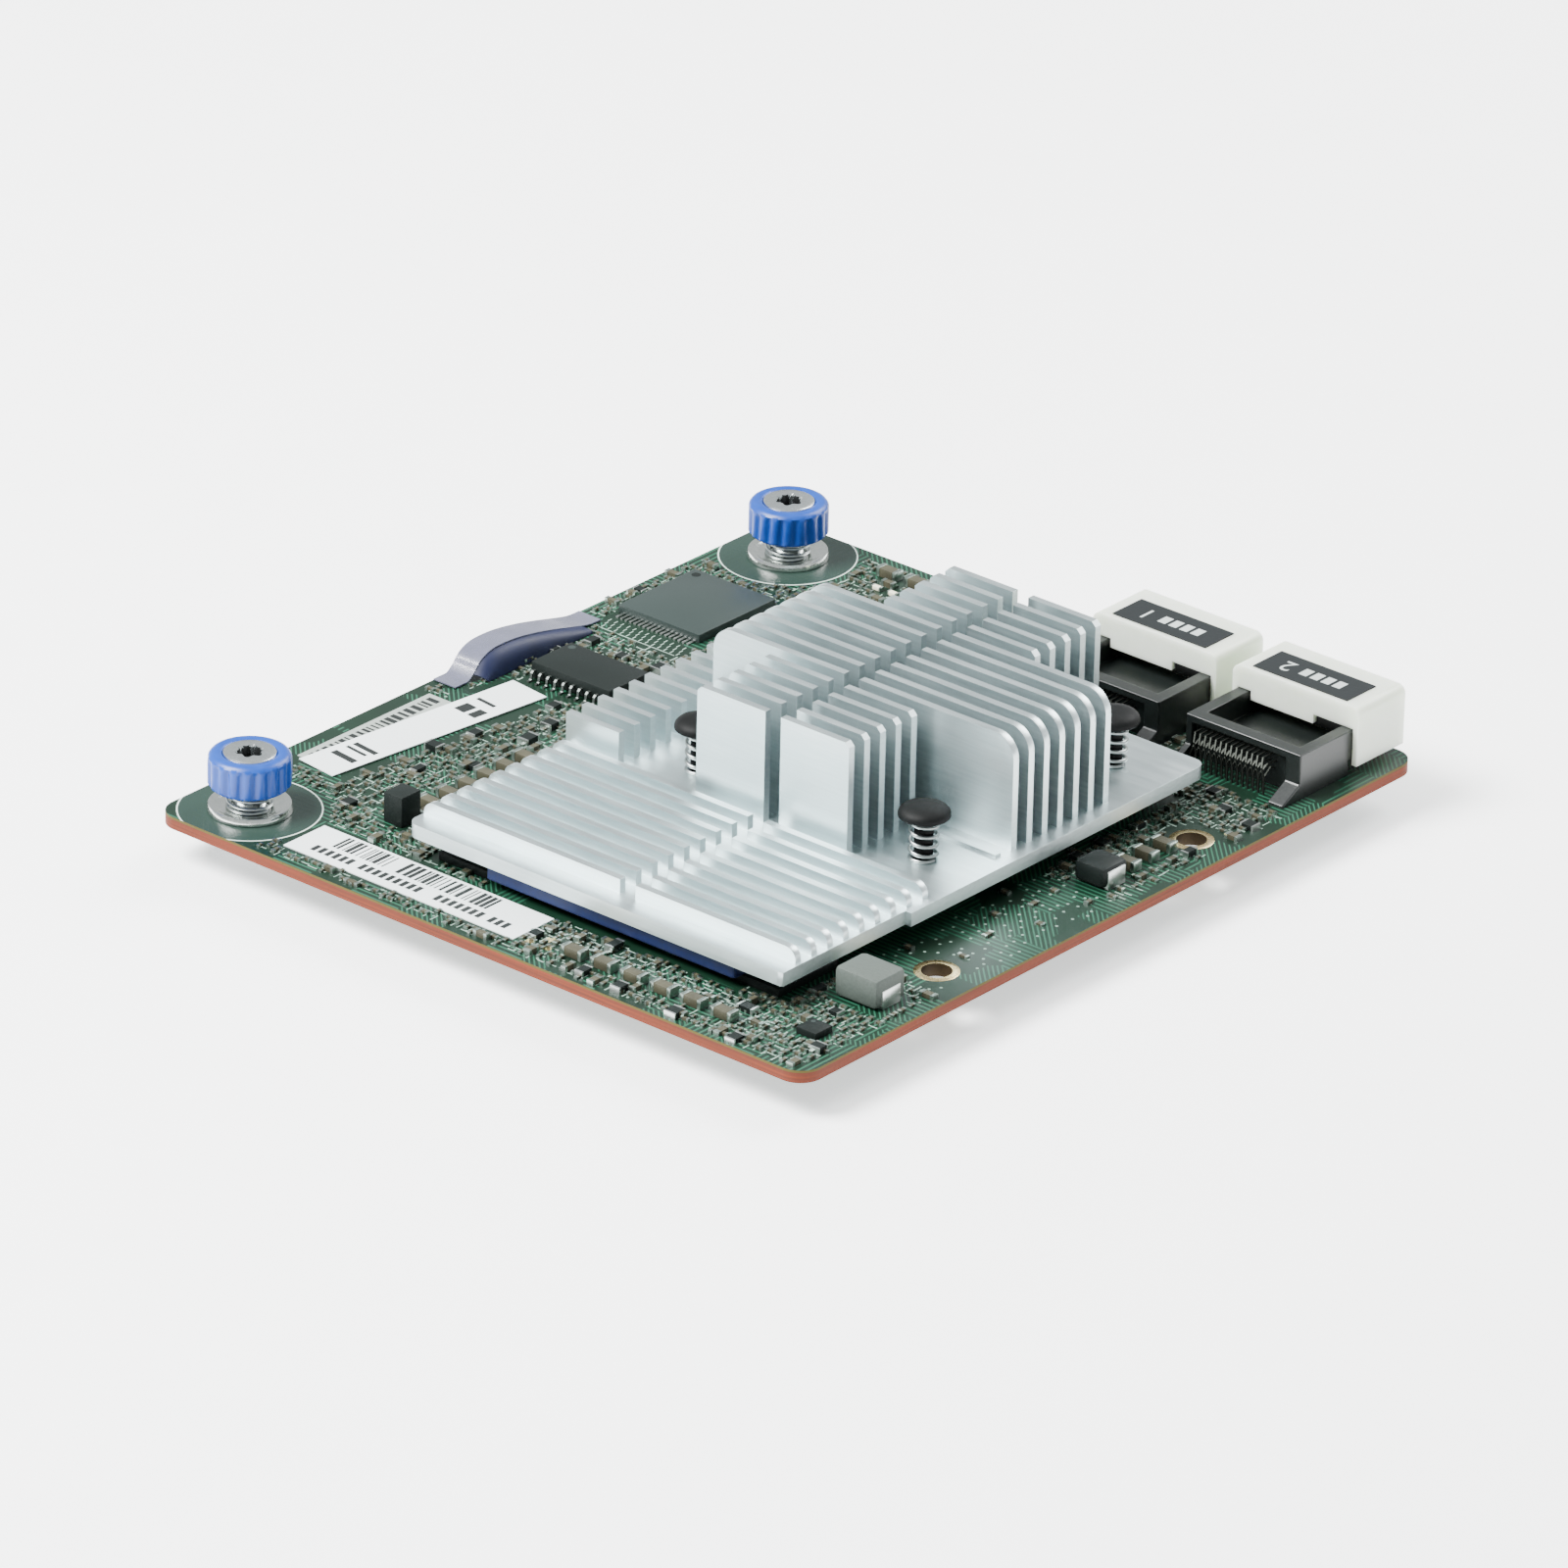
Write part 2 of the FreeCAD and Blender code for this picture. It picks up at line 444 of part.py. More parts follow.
def push_pin(label, x, y):
    """One moulded pin: an arrow-footed flat shank, a slot that parts its legs, and a turned head."""
    body = new_body(label, x, y, PIN_FOOT)
    shank = new_sketch(body, "XZ_Plane", "-dims.pin_barb / 2", "0", "-dims.pin_flat / 2")
    middle = "dims.pin_barb / 2"
    draw_polygon(shank, [
        (f"{middle} - dims.pin_tip / 2", "0"), (f"{middle} + dims.pin_tip / 2", "0"),
        ("dims.pin_barb", "dims.pin_barb_length"), (f"{middle} + dims.pin_body / 2", "dims.pin_barb_length"),
        (f"{middle} + dims.pin_body / 2", PIN_HEAD), (f"{middle} - dims.pin_body / 2", PIN_HEAD),
        (f"{middle} - dims.pin_body / 2", "dims.pin_barb_length"), ("0", "dims.pin_barb_length")])
    pad(body, shank, "dims.pin_flat")
    slot = new_sketch(body, "XZ_Plane", "-dims.pin_slot / 2", "0", "-dims.pin_flat / 2")
    draw_polygon(slot, rectangle("dims.pin_slot", "dims.pin_slot_length"))
    pocket(body, slot, "dims.pin_flat", reverse=True)
    dome = new_sketch(body, "XZ_Plane", "0", PIN_HEAD)
    draw_polygon(dome, [("0", "0"), ("dims.pin_head_wide / 2", "0"),
                        ("dims.pin_head_wide / 2", "0.4 * dims.pin_head_thick"),
                        ("0.6 * dims.pin_head_wide / 2", "dims.pin_head_thick"), ("0", "dims.pin_head_thick")])
    head = body.newObject("PartDesign::Revolution", label + "_head")
    head.Profile = dome
    head.ReferenceAxis = (dome, ["V_Axis"])
    head.Angle = 360.0
    return keep(body, label)


for side, pin_x in PIN_X.items():
    for end, pin_y in PIN_Y.items():
        x = f"{SINK_LEFT} + {pin_x}"
        y = f"{SINK_FRONT} + {pin_y}"
        push_pin(f"push_pin_{end}_{side}", x, y)
        coil_spring(f"push_pin_spring_{end}_{side}", x, y, SINK_TOP, "dims.pin_stand",
                    "dims.pin_spring_wide", "dims.pin_spring_wire", "dims.pin_spring_turns")

# --------------------------------------------------------------------------------------------------
# Controller chip, its die and thermal pad, the cache memory chips and the blue gap pad over them.
CHIP_X = f"({SINK_LEFT} + ({PIN_X['left']} + {PIN_X['right']}) / 2)"
CHIP_Y = f"({SINK_FRONT} + ({PIN_Y['front']} + {PIN_Y['rear']}) / 2)"


def centred_block(label, x, y, z, side, tall):
    """A square block centred at x, y."""
    return keep(block(label, (f"{x} - {side} / 2", f"{y} - {side} / 2", z), (side, side, tall)), label)


DIE_BASE = f"{BOARD_TOP} + dims.chip_board_thick"
DIE_PAD_TALL = "dims.sink_gap - dims.chip_board_thick - dims.die_thick"
centred_block("controller_substrate", CHIP_X, CHIP_Y, BOARD_TOP, "dims.chip_size", "dims.chip_board_thick")
centred_block("controller_die", CHIP_X, CHIP_Y, DIE_BASE, "dims.die_size", "dims.die_thick")
centred_block("die_thermal_pad", CHIP_X, CHIP_Y, f"{DIE_BASE} + dims.die_thick", "dims.die_size", DIE_PAD_TALL)
MEMORY_SPAN = "(dims.sink_width - 2 * dims.memory_inset - dims.memory_width)"
for number in range(int(size("memory_count"))):
    name = f"memory_chip_{number + 1}"
    memory_x = f"{SINK_LEFT} + dims.memory_inset + {number} * {MEMORY_SPAN} / (dims.memory_count - 1)"
    corner = (memory_x, f"{SINK_FRONT} + dims.memory_setback", BOARD_TOP)
    keep(block(name, corner, ("dims.memory_width", "dims.memory_depth", "dims.memory_thick")), name)
keep(block("memory_gap_pad", (f"{SINK_LEFT} + dims.pad_inset_left", f"{SINK_FRONT} + dims.pad_setback",
                              f"{BOARD_TOP} + dims.memory_thick"),
           ("dims.sink_width - dims.pad_inset_left - dims.pad_inset_right", "dims.pad_depth",
            "dims.sink_gap - dims.memory_thick")), "memory_gap_pad")

# --------------------------------------------------------------------------------------------------
# Captive thumbscrews. A dished ferrule is pressed into the board; the screw runs in it with a blue
# moulded knob on its head, a spring and washer under the knob, and a clip under the board that stops
# the spring from throwing it out.
SCREW_X = f"({LEFT_EDGE} + dims.screw_inset_x)"
SHANK = "dims.shank_wide / 2"
BORE = "(dims.shank_wide / 2 + dims.running_gap)"
TUBE = "dims.ferrule_tube / 2"
FLOOR = "(dims.board_thick + dims.ferrule_floor)"
RIM = "(dims.board_thick + dims.ferrule_rim)"
FLANGE = "dims.ferrule_flange / 2"
THREAD = "dims.thread_wide / 2"
SPRING_ROOM = "(dims.knob_gap - dims.ferrule_floor - dims.washer_thick)"
THREAD_END = "(dims.thread_lead + dims.thread_length)"
CLIP_SLOT = "(dims.clip_thick + dims.clip_slack)"
TIP_TO_BOARD = f"({THREAD_END} + {CLIP_SLOT} + dims.clip_play)"
for end, spot in SCREW_SPOTS.items():
    screw_y = f"({FRONT_EDGE} + {spot})"
    ferrule = [(BORE, "0"), (TUBE, "0"), (TUBE, "dims.board_thick"), (FLANGE, "dims.board_thick"),
               (FLANGE, RIM), (f"{FLANGE} - dims.ferrule_slope", FLOOR), (BORE, FLOOR)]
    keep(turned(f"{end}_ferrule", ferrule, SCREW_X, screw_y, "dims.mezz_height"), f"{end}_ferrule")

    knob = turned(f"{end}_knob", [
        (BORE, "0"), ("dims.knob_wide / 2", "0"), ("dims.knob_wide / 2", "dims.knob_tall"),
        ("dims.head_wide / 2 + dims.running_gap", "dims.knob_tall"),
        ("dims.head_wide / 2 + dims.running_gap", "dims.knob_seat"), (BORE, "dims.knob_seat")],
        SCREW_X, screw_y, f"{BOARD_TOP} + dims.knob_gap")
    flute = new_sketch(knob, "XY_Plane", "dims.knob_wide / 2 - dims.flute_deep", "-dims.flute_wide / 2")
    draw_polygon(flute, [("0", "dims.flute_wide / 2"), ("2 * dims.flute_deep", "0"),
                         ("2 * dims.flute_deep", "dims.flute_wide")])
    cut = pocket(knob, flute, "dims.knob_tall", reverse=True)
    doc.recompute()
    flutes = knob.newObject("PartDesign::PolarPattern", knob.Name + "_flutes")
    flutes.Originals = [cut]
    flutes.Axis = (origin_feature(knob, "Z_Axis"), [""])
    flutes.Angle = 360.0
    flutes.setExpression("Occurrences", "dims.knob_flutes")
    knob.Tip = flutes
    keep(knob, f"{end}_knob")

    head_seat = f"({TIP_TO_BOARD} + dims.board_thick + dims.knob_gap + dims.knob_seat)"
    head_top = f"({head_seat} + dims.head_thick)"
    screw = turned(f"{end}_screw", [
        ("0", "0"), (f"{THREAD} - dims.thread_lead", "0"), (THREAD, "dims.thread_lead"), (THREAD, THREAD_END),
        
        ("dims.clip_groove / 2", THREAD_END), ("dims.clip_groove / 2", f"{THREAD_END} + {CLIP_SLOT}"),
        (SHANK, f"{THREAD_END} + {CLIP_SLOT}"), (SHANK, head_seat), ("dims.head_wide / 2", head_seat),
        ("dims.head_wide / 2", head_top), ("0", head_top)],
        SCREW_X, screw_y, f"dims.mezz_height - {TIP_TO_BOARD}")
    drive = new_sketch(screw, "XY_Plane", "0", "0", head_top)
    draw_hexagon(drive, "dims.drive_wide")
    pocket(screw, drive, "dims.drive_deep")
    keep(screw, f"{end}_screw")

    washer = [(BORE, "0"), ("dims.washer_wide / 2", "0"), ("dims.washer_wide / 2", "dims.washer_thick"),
              (BORE, "dims.washer_thick")]
    washer_z = f"{BOARD_TOP} + dims.knob_gap - dims.washer_thick"
    keep(turned(f"{end}_spring_washer", washer, SCREW_X, screw_y, washer_z), f"{end}_spring_washer")
    coil_spring(f"{end}_screw_spring", SCREW_X, screw_y, f"{BOARD_TOP} + dims.ferrule_floor", SPRING_ROOM,
                "dims.screw_spring_wide", "dims.screw_spring_wire", "dims.screw_spring_turns")

    clip = new_body(f"{end}_retaining_clip", SCREW_X, screw_y, "dims.mezz_height - dims.clip_play - dims.clip_thick")
    clip_face = new_sketch(clip, "XY_Plane")
    draw_hexagon(clip_face, "dims.clip_wide")
    pad(clip, clip_face, "dims.clip_thick")
    throat = "(dims.clip_groove + dims.running_gap)"
    seat = new_sketch(clip, "XY_Plane")
    draw_circle(seat, "0", "0", throat)
    pocket(clip, seat, "dims.clip_thick", reverse=True)
    mouth = new_sketch(clip, "XY_Plane", "0", f"-{throat} / 2")
    draw_polygon(mouth, rectangle("dims.clip_wide", throat))
    pocket(clip, mouth, "dims.clip_thick", reverse=True)
    keep(clip, f"{end}_retaining_clip")

# --------------------------------------------------------------------------------------------------
# Drive receptacles: black right-angle housings with a latch trough in the top and an open back where
# two rows of contacts come out, bend down and meet the board. Each wears a clear cap on its mouth.
PORT_FRONT = f"({REAR_EDGE} - dims.port_front)"
CAP_FRONT = f"({REAR_EDGE} - dims.cap_rear_inset - dims.cap_depth)"
PORT_LENGTH = f"({CAP_FRONT} + dims.cap_depth - dims.cap_wall - dims.cap_gap - {PORT_FRONT})"
TO_CAP = f"({CAP_FRONT} - {PORT_FRONT})"
for number in (1, 2):
    left = f"({RIGHT_EDGE} - dims.port_inset - dims.port_width - {2 - number} * dims.port_pitch)"
    port = new_body(f"drive_receptacle_{number}", left, PORT_FRONT, BOARD_TOP)
    side = new_sketch(port, "YZ_Plane")
    draw_polygon(side, [
        ("0", "0"), ("0", "dims.port_foot_low"), ("dims.port_foot", "dims.port_foot_rise"),
        ("dims.port_foot", "dims.port_tall"), (PORT_LENGTH, "dims.port_tall"),
        (PORT_LENGTH, "dims.port_nose_floor"), (f"{TO_CAP} - dims.cap_gap", "dims.port_nose_floor"),
        (f"{TO_CAP} - dims.cap_gap", "0")])
    pad(port, side, "dims.port_width")
    recess = new_sketch(port, "XY_Plane", "dims.port_wall_left")
    draw_polygon(recess, rectangle("dims.port_width - dims.port_wall_left - dims.port_wall_right", "dims.port_recess"))
    pocket(port, recess, "dims.port_recess_top", reverse=True)
    trough = new_sketch(port, "XY_Plane", "dims.trough_inset_left", "dims.port_foot + dims.trough_inset_front",
                        "dims.port_tall")
    draw_polygon(trough, rectangle("dims.port_width - dims.trough_inset_left - dims.trough_inset_right",
                                   "dims.trough_depth"))
    pocket(port, trough, "dims.trough_deep")
    keep(port, f"drive_receptacle_{number}")

    strips = []
    span = size("port_contact_pitch") * (size("port_contact_count") - 1)
    clear_width = size("port_width") - size("port_wall_left") - size("port_wall_right")
    first = evaluate(left) + size("port_wall_left") + (clear_width - span - size("port_contact_pitch") / 2) / 2
    wall = evaluate(PORT_FRONT) + size("port_recess")
    floor = evaluate(BOARD_TOP)
    thick = size("port_contact_thick")
    for row, level, reach in ((0, "contact_row_high", "contact_reach_high"), (1, "contact_row_low", "contact_reach_low")):
        for index in range(int(size("port_contact_count"))):
            x = first + (index + row / 2) * size("port_contact_pitch") - size("port_contact_wide") / 2
            out = wall - size(reach)
            up = floor + size(level)
            corners = [(wall, up), (wall, up + thick), (out, up + thick), (out, floor), (out + thick, floor), (out + thick, up)]
            wire = Part.makePolygon([Vector(x, y, z) for y, z in corners + corners[:1]])
            strips.append(Part.Face(wire).extrude(Vector(size("port_contact_wide"), 0, 0)))
    contacts = doc.addObject("Part::Feature", f"receptacle_contacts_{number}")
    contacts.Shape = Part.makeCompound(strips)
    keep(contacts, f"receptacle_contacts_{number}")

    side_room = "(dims.cap_wall + dims.cap_clear)"
    cap = new_body(f"port_cap_{number}", f"{left} - {side_room}", CAP_FRONT, f"{BOARD_TOP} + dims.cap_floor")
    shell = new_sketch(cap, "XZ_Plane")
    draw_rounded(shell, f"dims.port_width + 2 * {side_room}", "dims.cap_tall", "dims.cap_round", corners="top")
    pad(cap, shell, "dims.cap_depth", reverse=True)
    mouth_tall = "(dims.port_tall - dims.cap_floor + dims.cap_clear)"
    mouth = new_sketch(cap, "XZ_Plane", "dims.cap_wall")
    draw_polygon(mouth, rectangle("dims.port_width + 2 * dims.cap_clear", mouth_tall))
    pocket(cap, mouth, "dims.cap_depth - dims.cap_wall")
    hollow = new_sketch(cap, "XZ_Plane", "dims.cap_wall + dims.cap_gap", mouth_tall, "-dims.cap_wall")
    draw_polygon(hollow, rectangle("dims.port_width + 2 * dims.cap_clear - 2 * dims.cap_gap",
                                   f"dims.cap_tall - dims.cap_wall - {mouth_tall}"))
    pocket(cap, hollow, "dims.cap_depth - 2 * dims.cap_wall")
    tab_x = f"{side_room} + dims.trough_inset_left + dims.tab_clear"
    tab = new_sketch(cap, "XZ_Plane", tab_x, f"{mouth_tall} - dims.tab_drop")
    draw_polygon(tab, rectangle("dims.tab_width", "dims.tab_drop"))
    pad(cap, tab, "dims.cap_wall", reverse=True)
    keep(cap, f"port_cap_{number}")

    label_x = f"{left} + (dims.port_width - dims.cap_label_width) / 2"
    label_z = f"{BOARD_TOP} + dims.cap_floor + dims.cap_tall"
    keep(block(f"cap_label_{number}", (label_x, f"{CAP_FRONT} + dims.cap_label_setback", label_z),
               ("dims.cap_label_width", "dims.cap_label_depth", "dims.label_thick")), f"cap_label_{number}")

# --------------------------------------------------------------------------------------------------
# Board-to-board connector under the left-hand side, with its two rows of soldered tails.
MEZZ_LEFT = f"({LEFT_EDGE} + dims.mezz_inset)"
mezz = new_body("mezzanine_connector", MEZZ_LEFT, "-dims.mezz_length / 2", "0")
footprint = new_sketch(mezz, "XY_Plane")
draw_rounded(footprint, "dims.mezz_width", "dims.mezz_length", "dims.mezz_corner")
pad(mezz, footprint, "dims.mezz_height")
slot_x = "(dims.mezz_width - dims.mezz_slot_width) / 2"
slot = new_sketch(mezz, "XY_Plane", slot_x, "dims.mezz_slot_end")
draw_polygon(slot, rectangle("dims.mezz_slot_width", "dims.mezz_length - 2 * dims.mezz_slot_end"))
pocket(mezz, slot, "dims.mezz_slot_deep", reverse=True)
keep(mezz, "mezzanine_connector")

tails = []
tail_span = size("mezz_contact_pitch") * (size("mezz_contact_count") - 1)
tail_box = (size("mezz_tail_length"), size("mezz_tail_width"), size("mezz_tail_thick"))
for tail_x in (evaluate(MEZZ_LEFT) - size("mezz_tail_length"), evaluate(MEZZ_LEFT) + size("mezz_width")):
    for index in range(int(size("mezz_contact_count"))):
        tail_y = index * size("mezz_contact_pitch") - tail_span / 2 - tail_box[1] / 2
        corner = Vector(tail_x, tail_y, size("mezz_height") - size("mezz_tail_thick"))
        tails.append(Part.makeBox(*tail_box, corner))
mezz_tails = doc.addObject("Part::Feature", "mezzanine_contacts")
mezz_tails.Shape = Part.makeCompound(tails)
keep(mezz_tails, "mezzanine_contacts")

# --------------------------------------------------------------------------------------------------
# Logic chip with gull-wing leads, and the flat flash chip behind it.
LOGIC_LEFT = f"({LEFT_EDGE} + dims.logic_inset)"
LOGIC_FRONT = f"({FRONT_EDGE} + dims.logic_front)"
keep(block("logic_chip", (LOGIC_LEFT, LOGIC_FRONT, f"{BOARD_TOP} + dims.logic_standoff"),
           ("dims.logic_width", "dims.logic_depth", "dims.logic_thick - dims.logic_standoff")), "logic_chip")
leads = []
lead_out = size("logic_lead_reach")
lead_mid = (size("logic_standoff") + size("logic_thick")) / 2
lead_thick = size("logic_lead_thick")
base = evaluate(BOARD_TOP)
lead_span = size("logic_lead_pitch") * (size("logic_lead_count") - 1)
lead_first = evaluate(LOGIC_LEFT) + (size("logic_width") - lead_span - size("logic_lead_wide")) / 2
gull = [(0, lead_mid), (0, lead_mid + lead_thick), (0.35 * lead_out, lead_mid + lead_thick),
        (0.6 * lead_out, lead_thick), (lead_out, lead_thick), (lead_out, 0), (0.4 * lead_out, 0),
        (0.15 * lead_out, lead_mid)]
chip_front = evaluate(LOGIC_FRONT)
for face, way in ((chip_front, -1), (chip_front + size("logic_depth"), 1)):
    for index in range(int(size("logic_lead_count"))):
        x = lead_first + index * size("logic_lead_pitch")
        points = [Vector(x, face + way * reach, base + up) for reach, up in gull]
        lead = Part.Face(Part.makePolygon(points + points[:1])).extrude(Vector(size("logic_lead_wide"), 0, 0))
        leads.append(lead)
logic_leads = doc.addObject("Part::Feature", "logic_chip_leads")
logic_leads.Shape = Part.makeCompound(leads)
keep(logic_leads, "logic_chip_leads")
flash_y = f"{REAR_EDGE} - dims.flash_rear - dims.flash_depth"
keep(block("flash_chip", (f"{LEFT_EDGE} + dims.flash_inset", flash_y, BOARD_TOP),
           ("dims.flash_width", "dims.flash_depth", "dims.flash_thick")), "flash_chip")


# --------------------------------------------------------------------------------------------------
# Power parts: two chokes with chamfered cases, a regulator, a bulk capacitor, a crystal and LEDs.
def chamfered_case(label, x, y, width, depth, tall, chamfer):
    """A moulded or pressed case whose top edges slope in by the chamfer."""
    body = new_body(label, x, y, BOARD_TOP)
    foot = new_sketch(body, "XY_Plane")
    draw_polygon(foot, rectangle(width, depth))
    case = pad(body, foot, tall)
    doc.recompute()
    top_z = max(vertex.Z for vertex in case.Shape.Vertexes)
    names = []
    for index, edge in enumerate(case.Shape.Edges, start=1):
        if min(vertex.Z for vertex in edge.Vertexes) > top_z - 0.001:
            names.append(f"Edge{index}")
    bevel = body.newObject("PartDesign::Chamfer", label + "_bevel")
    bevel.Base = (case, names)
    bevel.setExpression("Size", chamfer)
    return keep(body, label)


chamfered_case("power_choke", f"{RIGHT_EDGE} - dims.choke_inset - dims.choke_width",
               f"{FRONT_EDGE} + dims.choke_front", "dims.choke_width", "dims.choke_depth", "dims.choke_tall",
               "dims.choke_chamfer")
chamfered_case("filter_choke", f"{RIGHT_EDGE} - dims.coil_inset - dims.coil_width",
               f"{FRONT_EDGE} + dims.coil_front", "dims.coil_width", "dims.coil_depth", "dims.coil_tall",
               "dims.coil_chamfer")
keep(block("regulator_chip", (f"{RIGHT_EDGE} - dims.regulator_inset - dims.regulator_size",
                              f"{FRONT_EDGE} + dims.regulator_inset + dims.regulator_size", BOARD_TOP),
           ("dims.regulator_size", "dims.regulator_size", "dims.regulator_thick")), "regulator_chip")
keep(block("bulk_capacitor", (f"{SINK_LEFT} - dims.bulk_clear - dims.bulk_width",
                              f"{SINK_FRONT} + dims.bulk_setback", BOARD_TOP),
           ("dims.bulk_width", "dims.bulk_depth", "dims.bulk_tall")), "bulk_capacitor")
keep(block("crystal", (f"{LEFT_EDGE} + dims.crystal_inset",
                       f"{REAR_EDGE} - dims.crystal_rear - dims.crystal_depth", BOARD_TOP),
           ("dims.crystal_width", "dims.crystal_depth", "dims.crystal_tall")), "crystal")


def chip_group(label, corners, extent, under=False):
    """Like chip parts soldered flat on the board, kept together as one node of separate solids."""
    width, depth, tall = (size(name) for name in extent)
    level = size("mezz_height") - tall if under else evaluate(BOARD_TOP)
    group = doc.addObject("Part::Feature", label)
    group.Shape = Part.makeCompound([Part.makeBox(width, depth, tall, Vector(x, y, level)) for x, y in corners])
    return keep(group, label)


def spots(x, y, step_x, step_y, count):
    """Corners of a row of like parts from x, y."""
    return [(evaluate(x) + k * step_x, evaluate(y) + k * step_y) for k in range(int(size(count)))]


CELL = ("cell_width", "cell_depth", "cell_tall")
row_step = size("row_pitch")
column_step = size("column_pitch")
front_row_x = f"{RIGHT_EDGE} - dims.front_row_right - dims.row_pitch * (dims.front_row_count - 1) - dims.cell_width"
chip_group("front_capacitors", spots(front_row_x, f"{FRONT_EDGE} + dims.row_inset + dims.cell_depth / 2",
                                     row_step, 0, "front_row_count"), CELL)
chip_group("rear_capacitors", spots(f"{LEFT_EDGE} + dims.rear_row_left", f"{REAR_EDGE} - dims.row_inset - dims.cell_depth",
                                    row_step, 0, "rear_row_count"), CELL)
left_column_x = f"{SINK_LEFT} - dims.left_column_clear - dims.cell_width"
chip_group("left_capacitors", spots(left_column_x, f"{FRONT_EDGE} + dims.left_column_front",
                                    0, column_step, "left_column_count"), CELL)
right_column_x = f"{RIGHT_EDGE} - dims.right_column_inset - dims.cell_width"
right_column_y = f"{FRONT_EDGE} + dims.coil_front + dims.coil_depth + dims.right_column_gap"
chip_group("right_capacitors", spots(right_column_x, right_column_y, 0, column_step, "right_column_count"), CELL)
under_middle = (size("under_rows") - 1) / 2 * size("under_pitch")
under_x = evaluate(CHIP_X) - under_middle - size("cell_width") / 2
under_y = evaluate(CHIP_Y) - under_middle - size("cell_depth") / 2
under_spots = []
for row in range(int(size("under_rows"))):
    for column in range(int(size("under_rows"))):
        under_spots.append((under_x + column * size("under_pitch"), under_y + row * size("under_pitch")))
chip_group("underside_capacitors", under_spots, CELL, under=True)
chip_group("status_leds", spots(f"{LEFT_EDGE} + dims.led_inset", f"{REAR_EDGE} - dims.led_rear - dims.led_depth",
                                size("led_pitch"), 0, "led_count"), ("led_width", "led_depth", "led_tall"))

# --------------------------------------------------------------------------------------------------
# Paper labels, the silvery strip on the left-hand edge and the clear film loop beside it.
barcode_corner = (f"{LEFT_EDGE} + dims.barcode_left", f"{FRONT_EDGE} + dims.barcode_inset", BOARD_TOP)
keep(block("barcode_label", barcode_corner, ("dims.barcode_width", "dims.barcode_depth", "dims.label_thick")),
     "barcode_label")
serial = new_body("serial_label", f"{LEFT_EDGE} + dims.serial_inset", f"{FRONT_EDGE} + dims.serial_front",
                  f"{BOARD_TOP} + dims.label_thick")
serial.setExpression("Placement.Rotation.Angle", "dims.serial_turn")
serial_face = new_sketch(serial, "XY_Plane", "-dims.serial_width / 2", "-dims.serial_length / 2")
draw_polygon(serial_face, rectangle("dims.serial_width", "dims.serial_length"))
pad(serial, serial_face, "dims.label_thick")
keep(serial, "serial_label")
keep(block("edge_strip_label", (f"{LEFT_EDGE} + dims.strip_inset", f"{FRONT_EDGE} + dims.strip_front", BOARD_TOP),
           ("dims.strip_width", "dims.strip_length", "dims.label_thick")), "edge_strip_label")

# The film is one strip whose two ends are stuck down flat and whose middle arches up.
film_start = evaluate(FRONT_EDGE) + size("film_front")
film_end = film_start + size("film_span")
film_z = evaluate(BOARD_TOP)
foot_in = size("film_foot")
rise = size("film_rise")
gauge = size("film_thick")
film_x = evaluate(LEFT_EDGE) + size("film_inset")
crown_y = (film_start + film_end) / 2


def film_point(y, z):
    return Vector(film_x, y, film_z + z)


under = Part.Arc(film_point(film_start + foot_in, 0), film_point(crown_y, rise), film_point(film_end - foot_in, 0))
over = Part.Arc(film_point(film_end - foot_in, gauge), film_point(crown_y, rise + gauge),
                film_point(film_start + foot_in, gauge))
ends = [Part.makeLine(film_point(film_end - foot_in, 0), film_point(film_end, 0)),
        Part.makeLine(film_point(film_end, 0), film_point(film_end, gauge)),
        Part.makeLine(film_point(film_end, gauge), film_point(film_end - foot_in, gauge))]
starts = [Part.makeLine(film_point(film_start + foot_in, gauge), film_point(film_start, gauge)),
          Part.makeLine(film_point(film_start, gauge), film_point(film_start, 0)),
          Part.makeLine(film_point(film_start, 0), film_point(film_start + foot_in, 0))]
film_edge = Part.Wire([under.toShape()] + ends + [over.toShape()] + starts)
film = doc.addObject("Part::Feature", "film_pull_loop")
film.Shape = Part.Face(film_edge).extrude(Vector(size("film_width"), 0, 0))
keep(film, "film_pull_loop")

# --------------------------------------------------------------------------------------------------
doc.recompute()
for item in doc.Objects:
    if "Invalid" in item.State or "Error" in item.State:
        raise RuntimeError(f"{item.Label} did not recompute: {item.State}")
os.makedirs("parts", exist_ok=True)
for piece in subparts:
    if piece.Shape.isNull() or not piece.Shape.isValid():
        raise RuntimeError(f"{piece.Label} has no valid shape")
    piece.Shape.exportStep(os.path.join("parts", piece.Label + ".step"))
print(len(subparts), "sub-parts written")
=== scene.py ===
import json
import math
import random

import bmesh
import bpy
from mathutils import Matrix, Vector


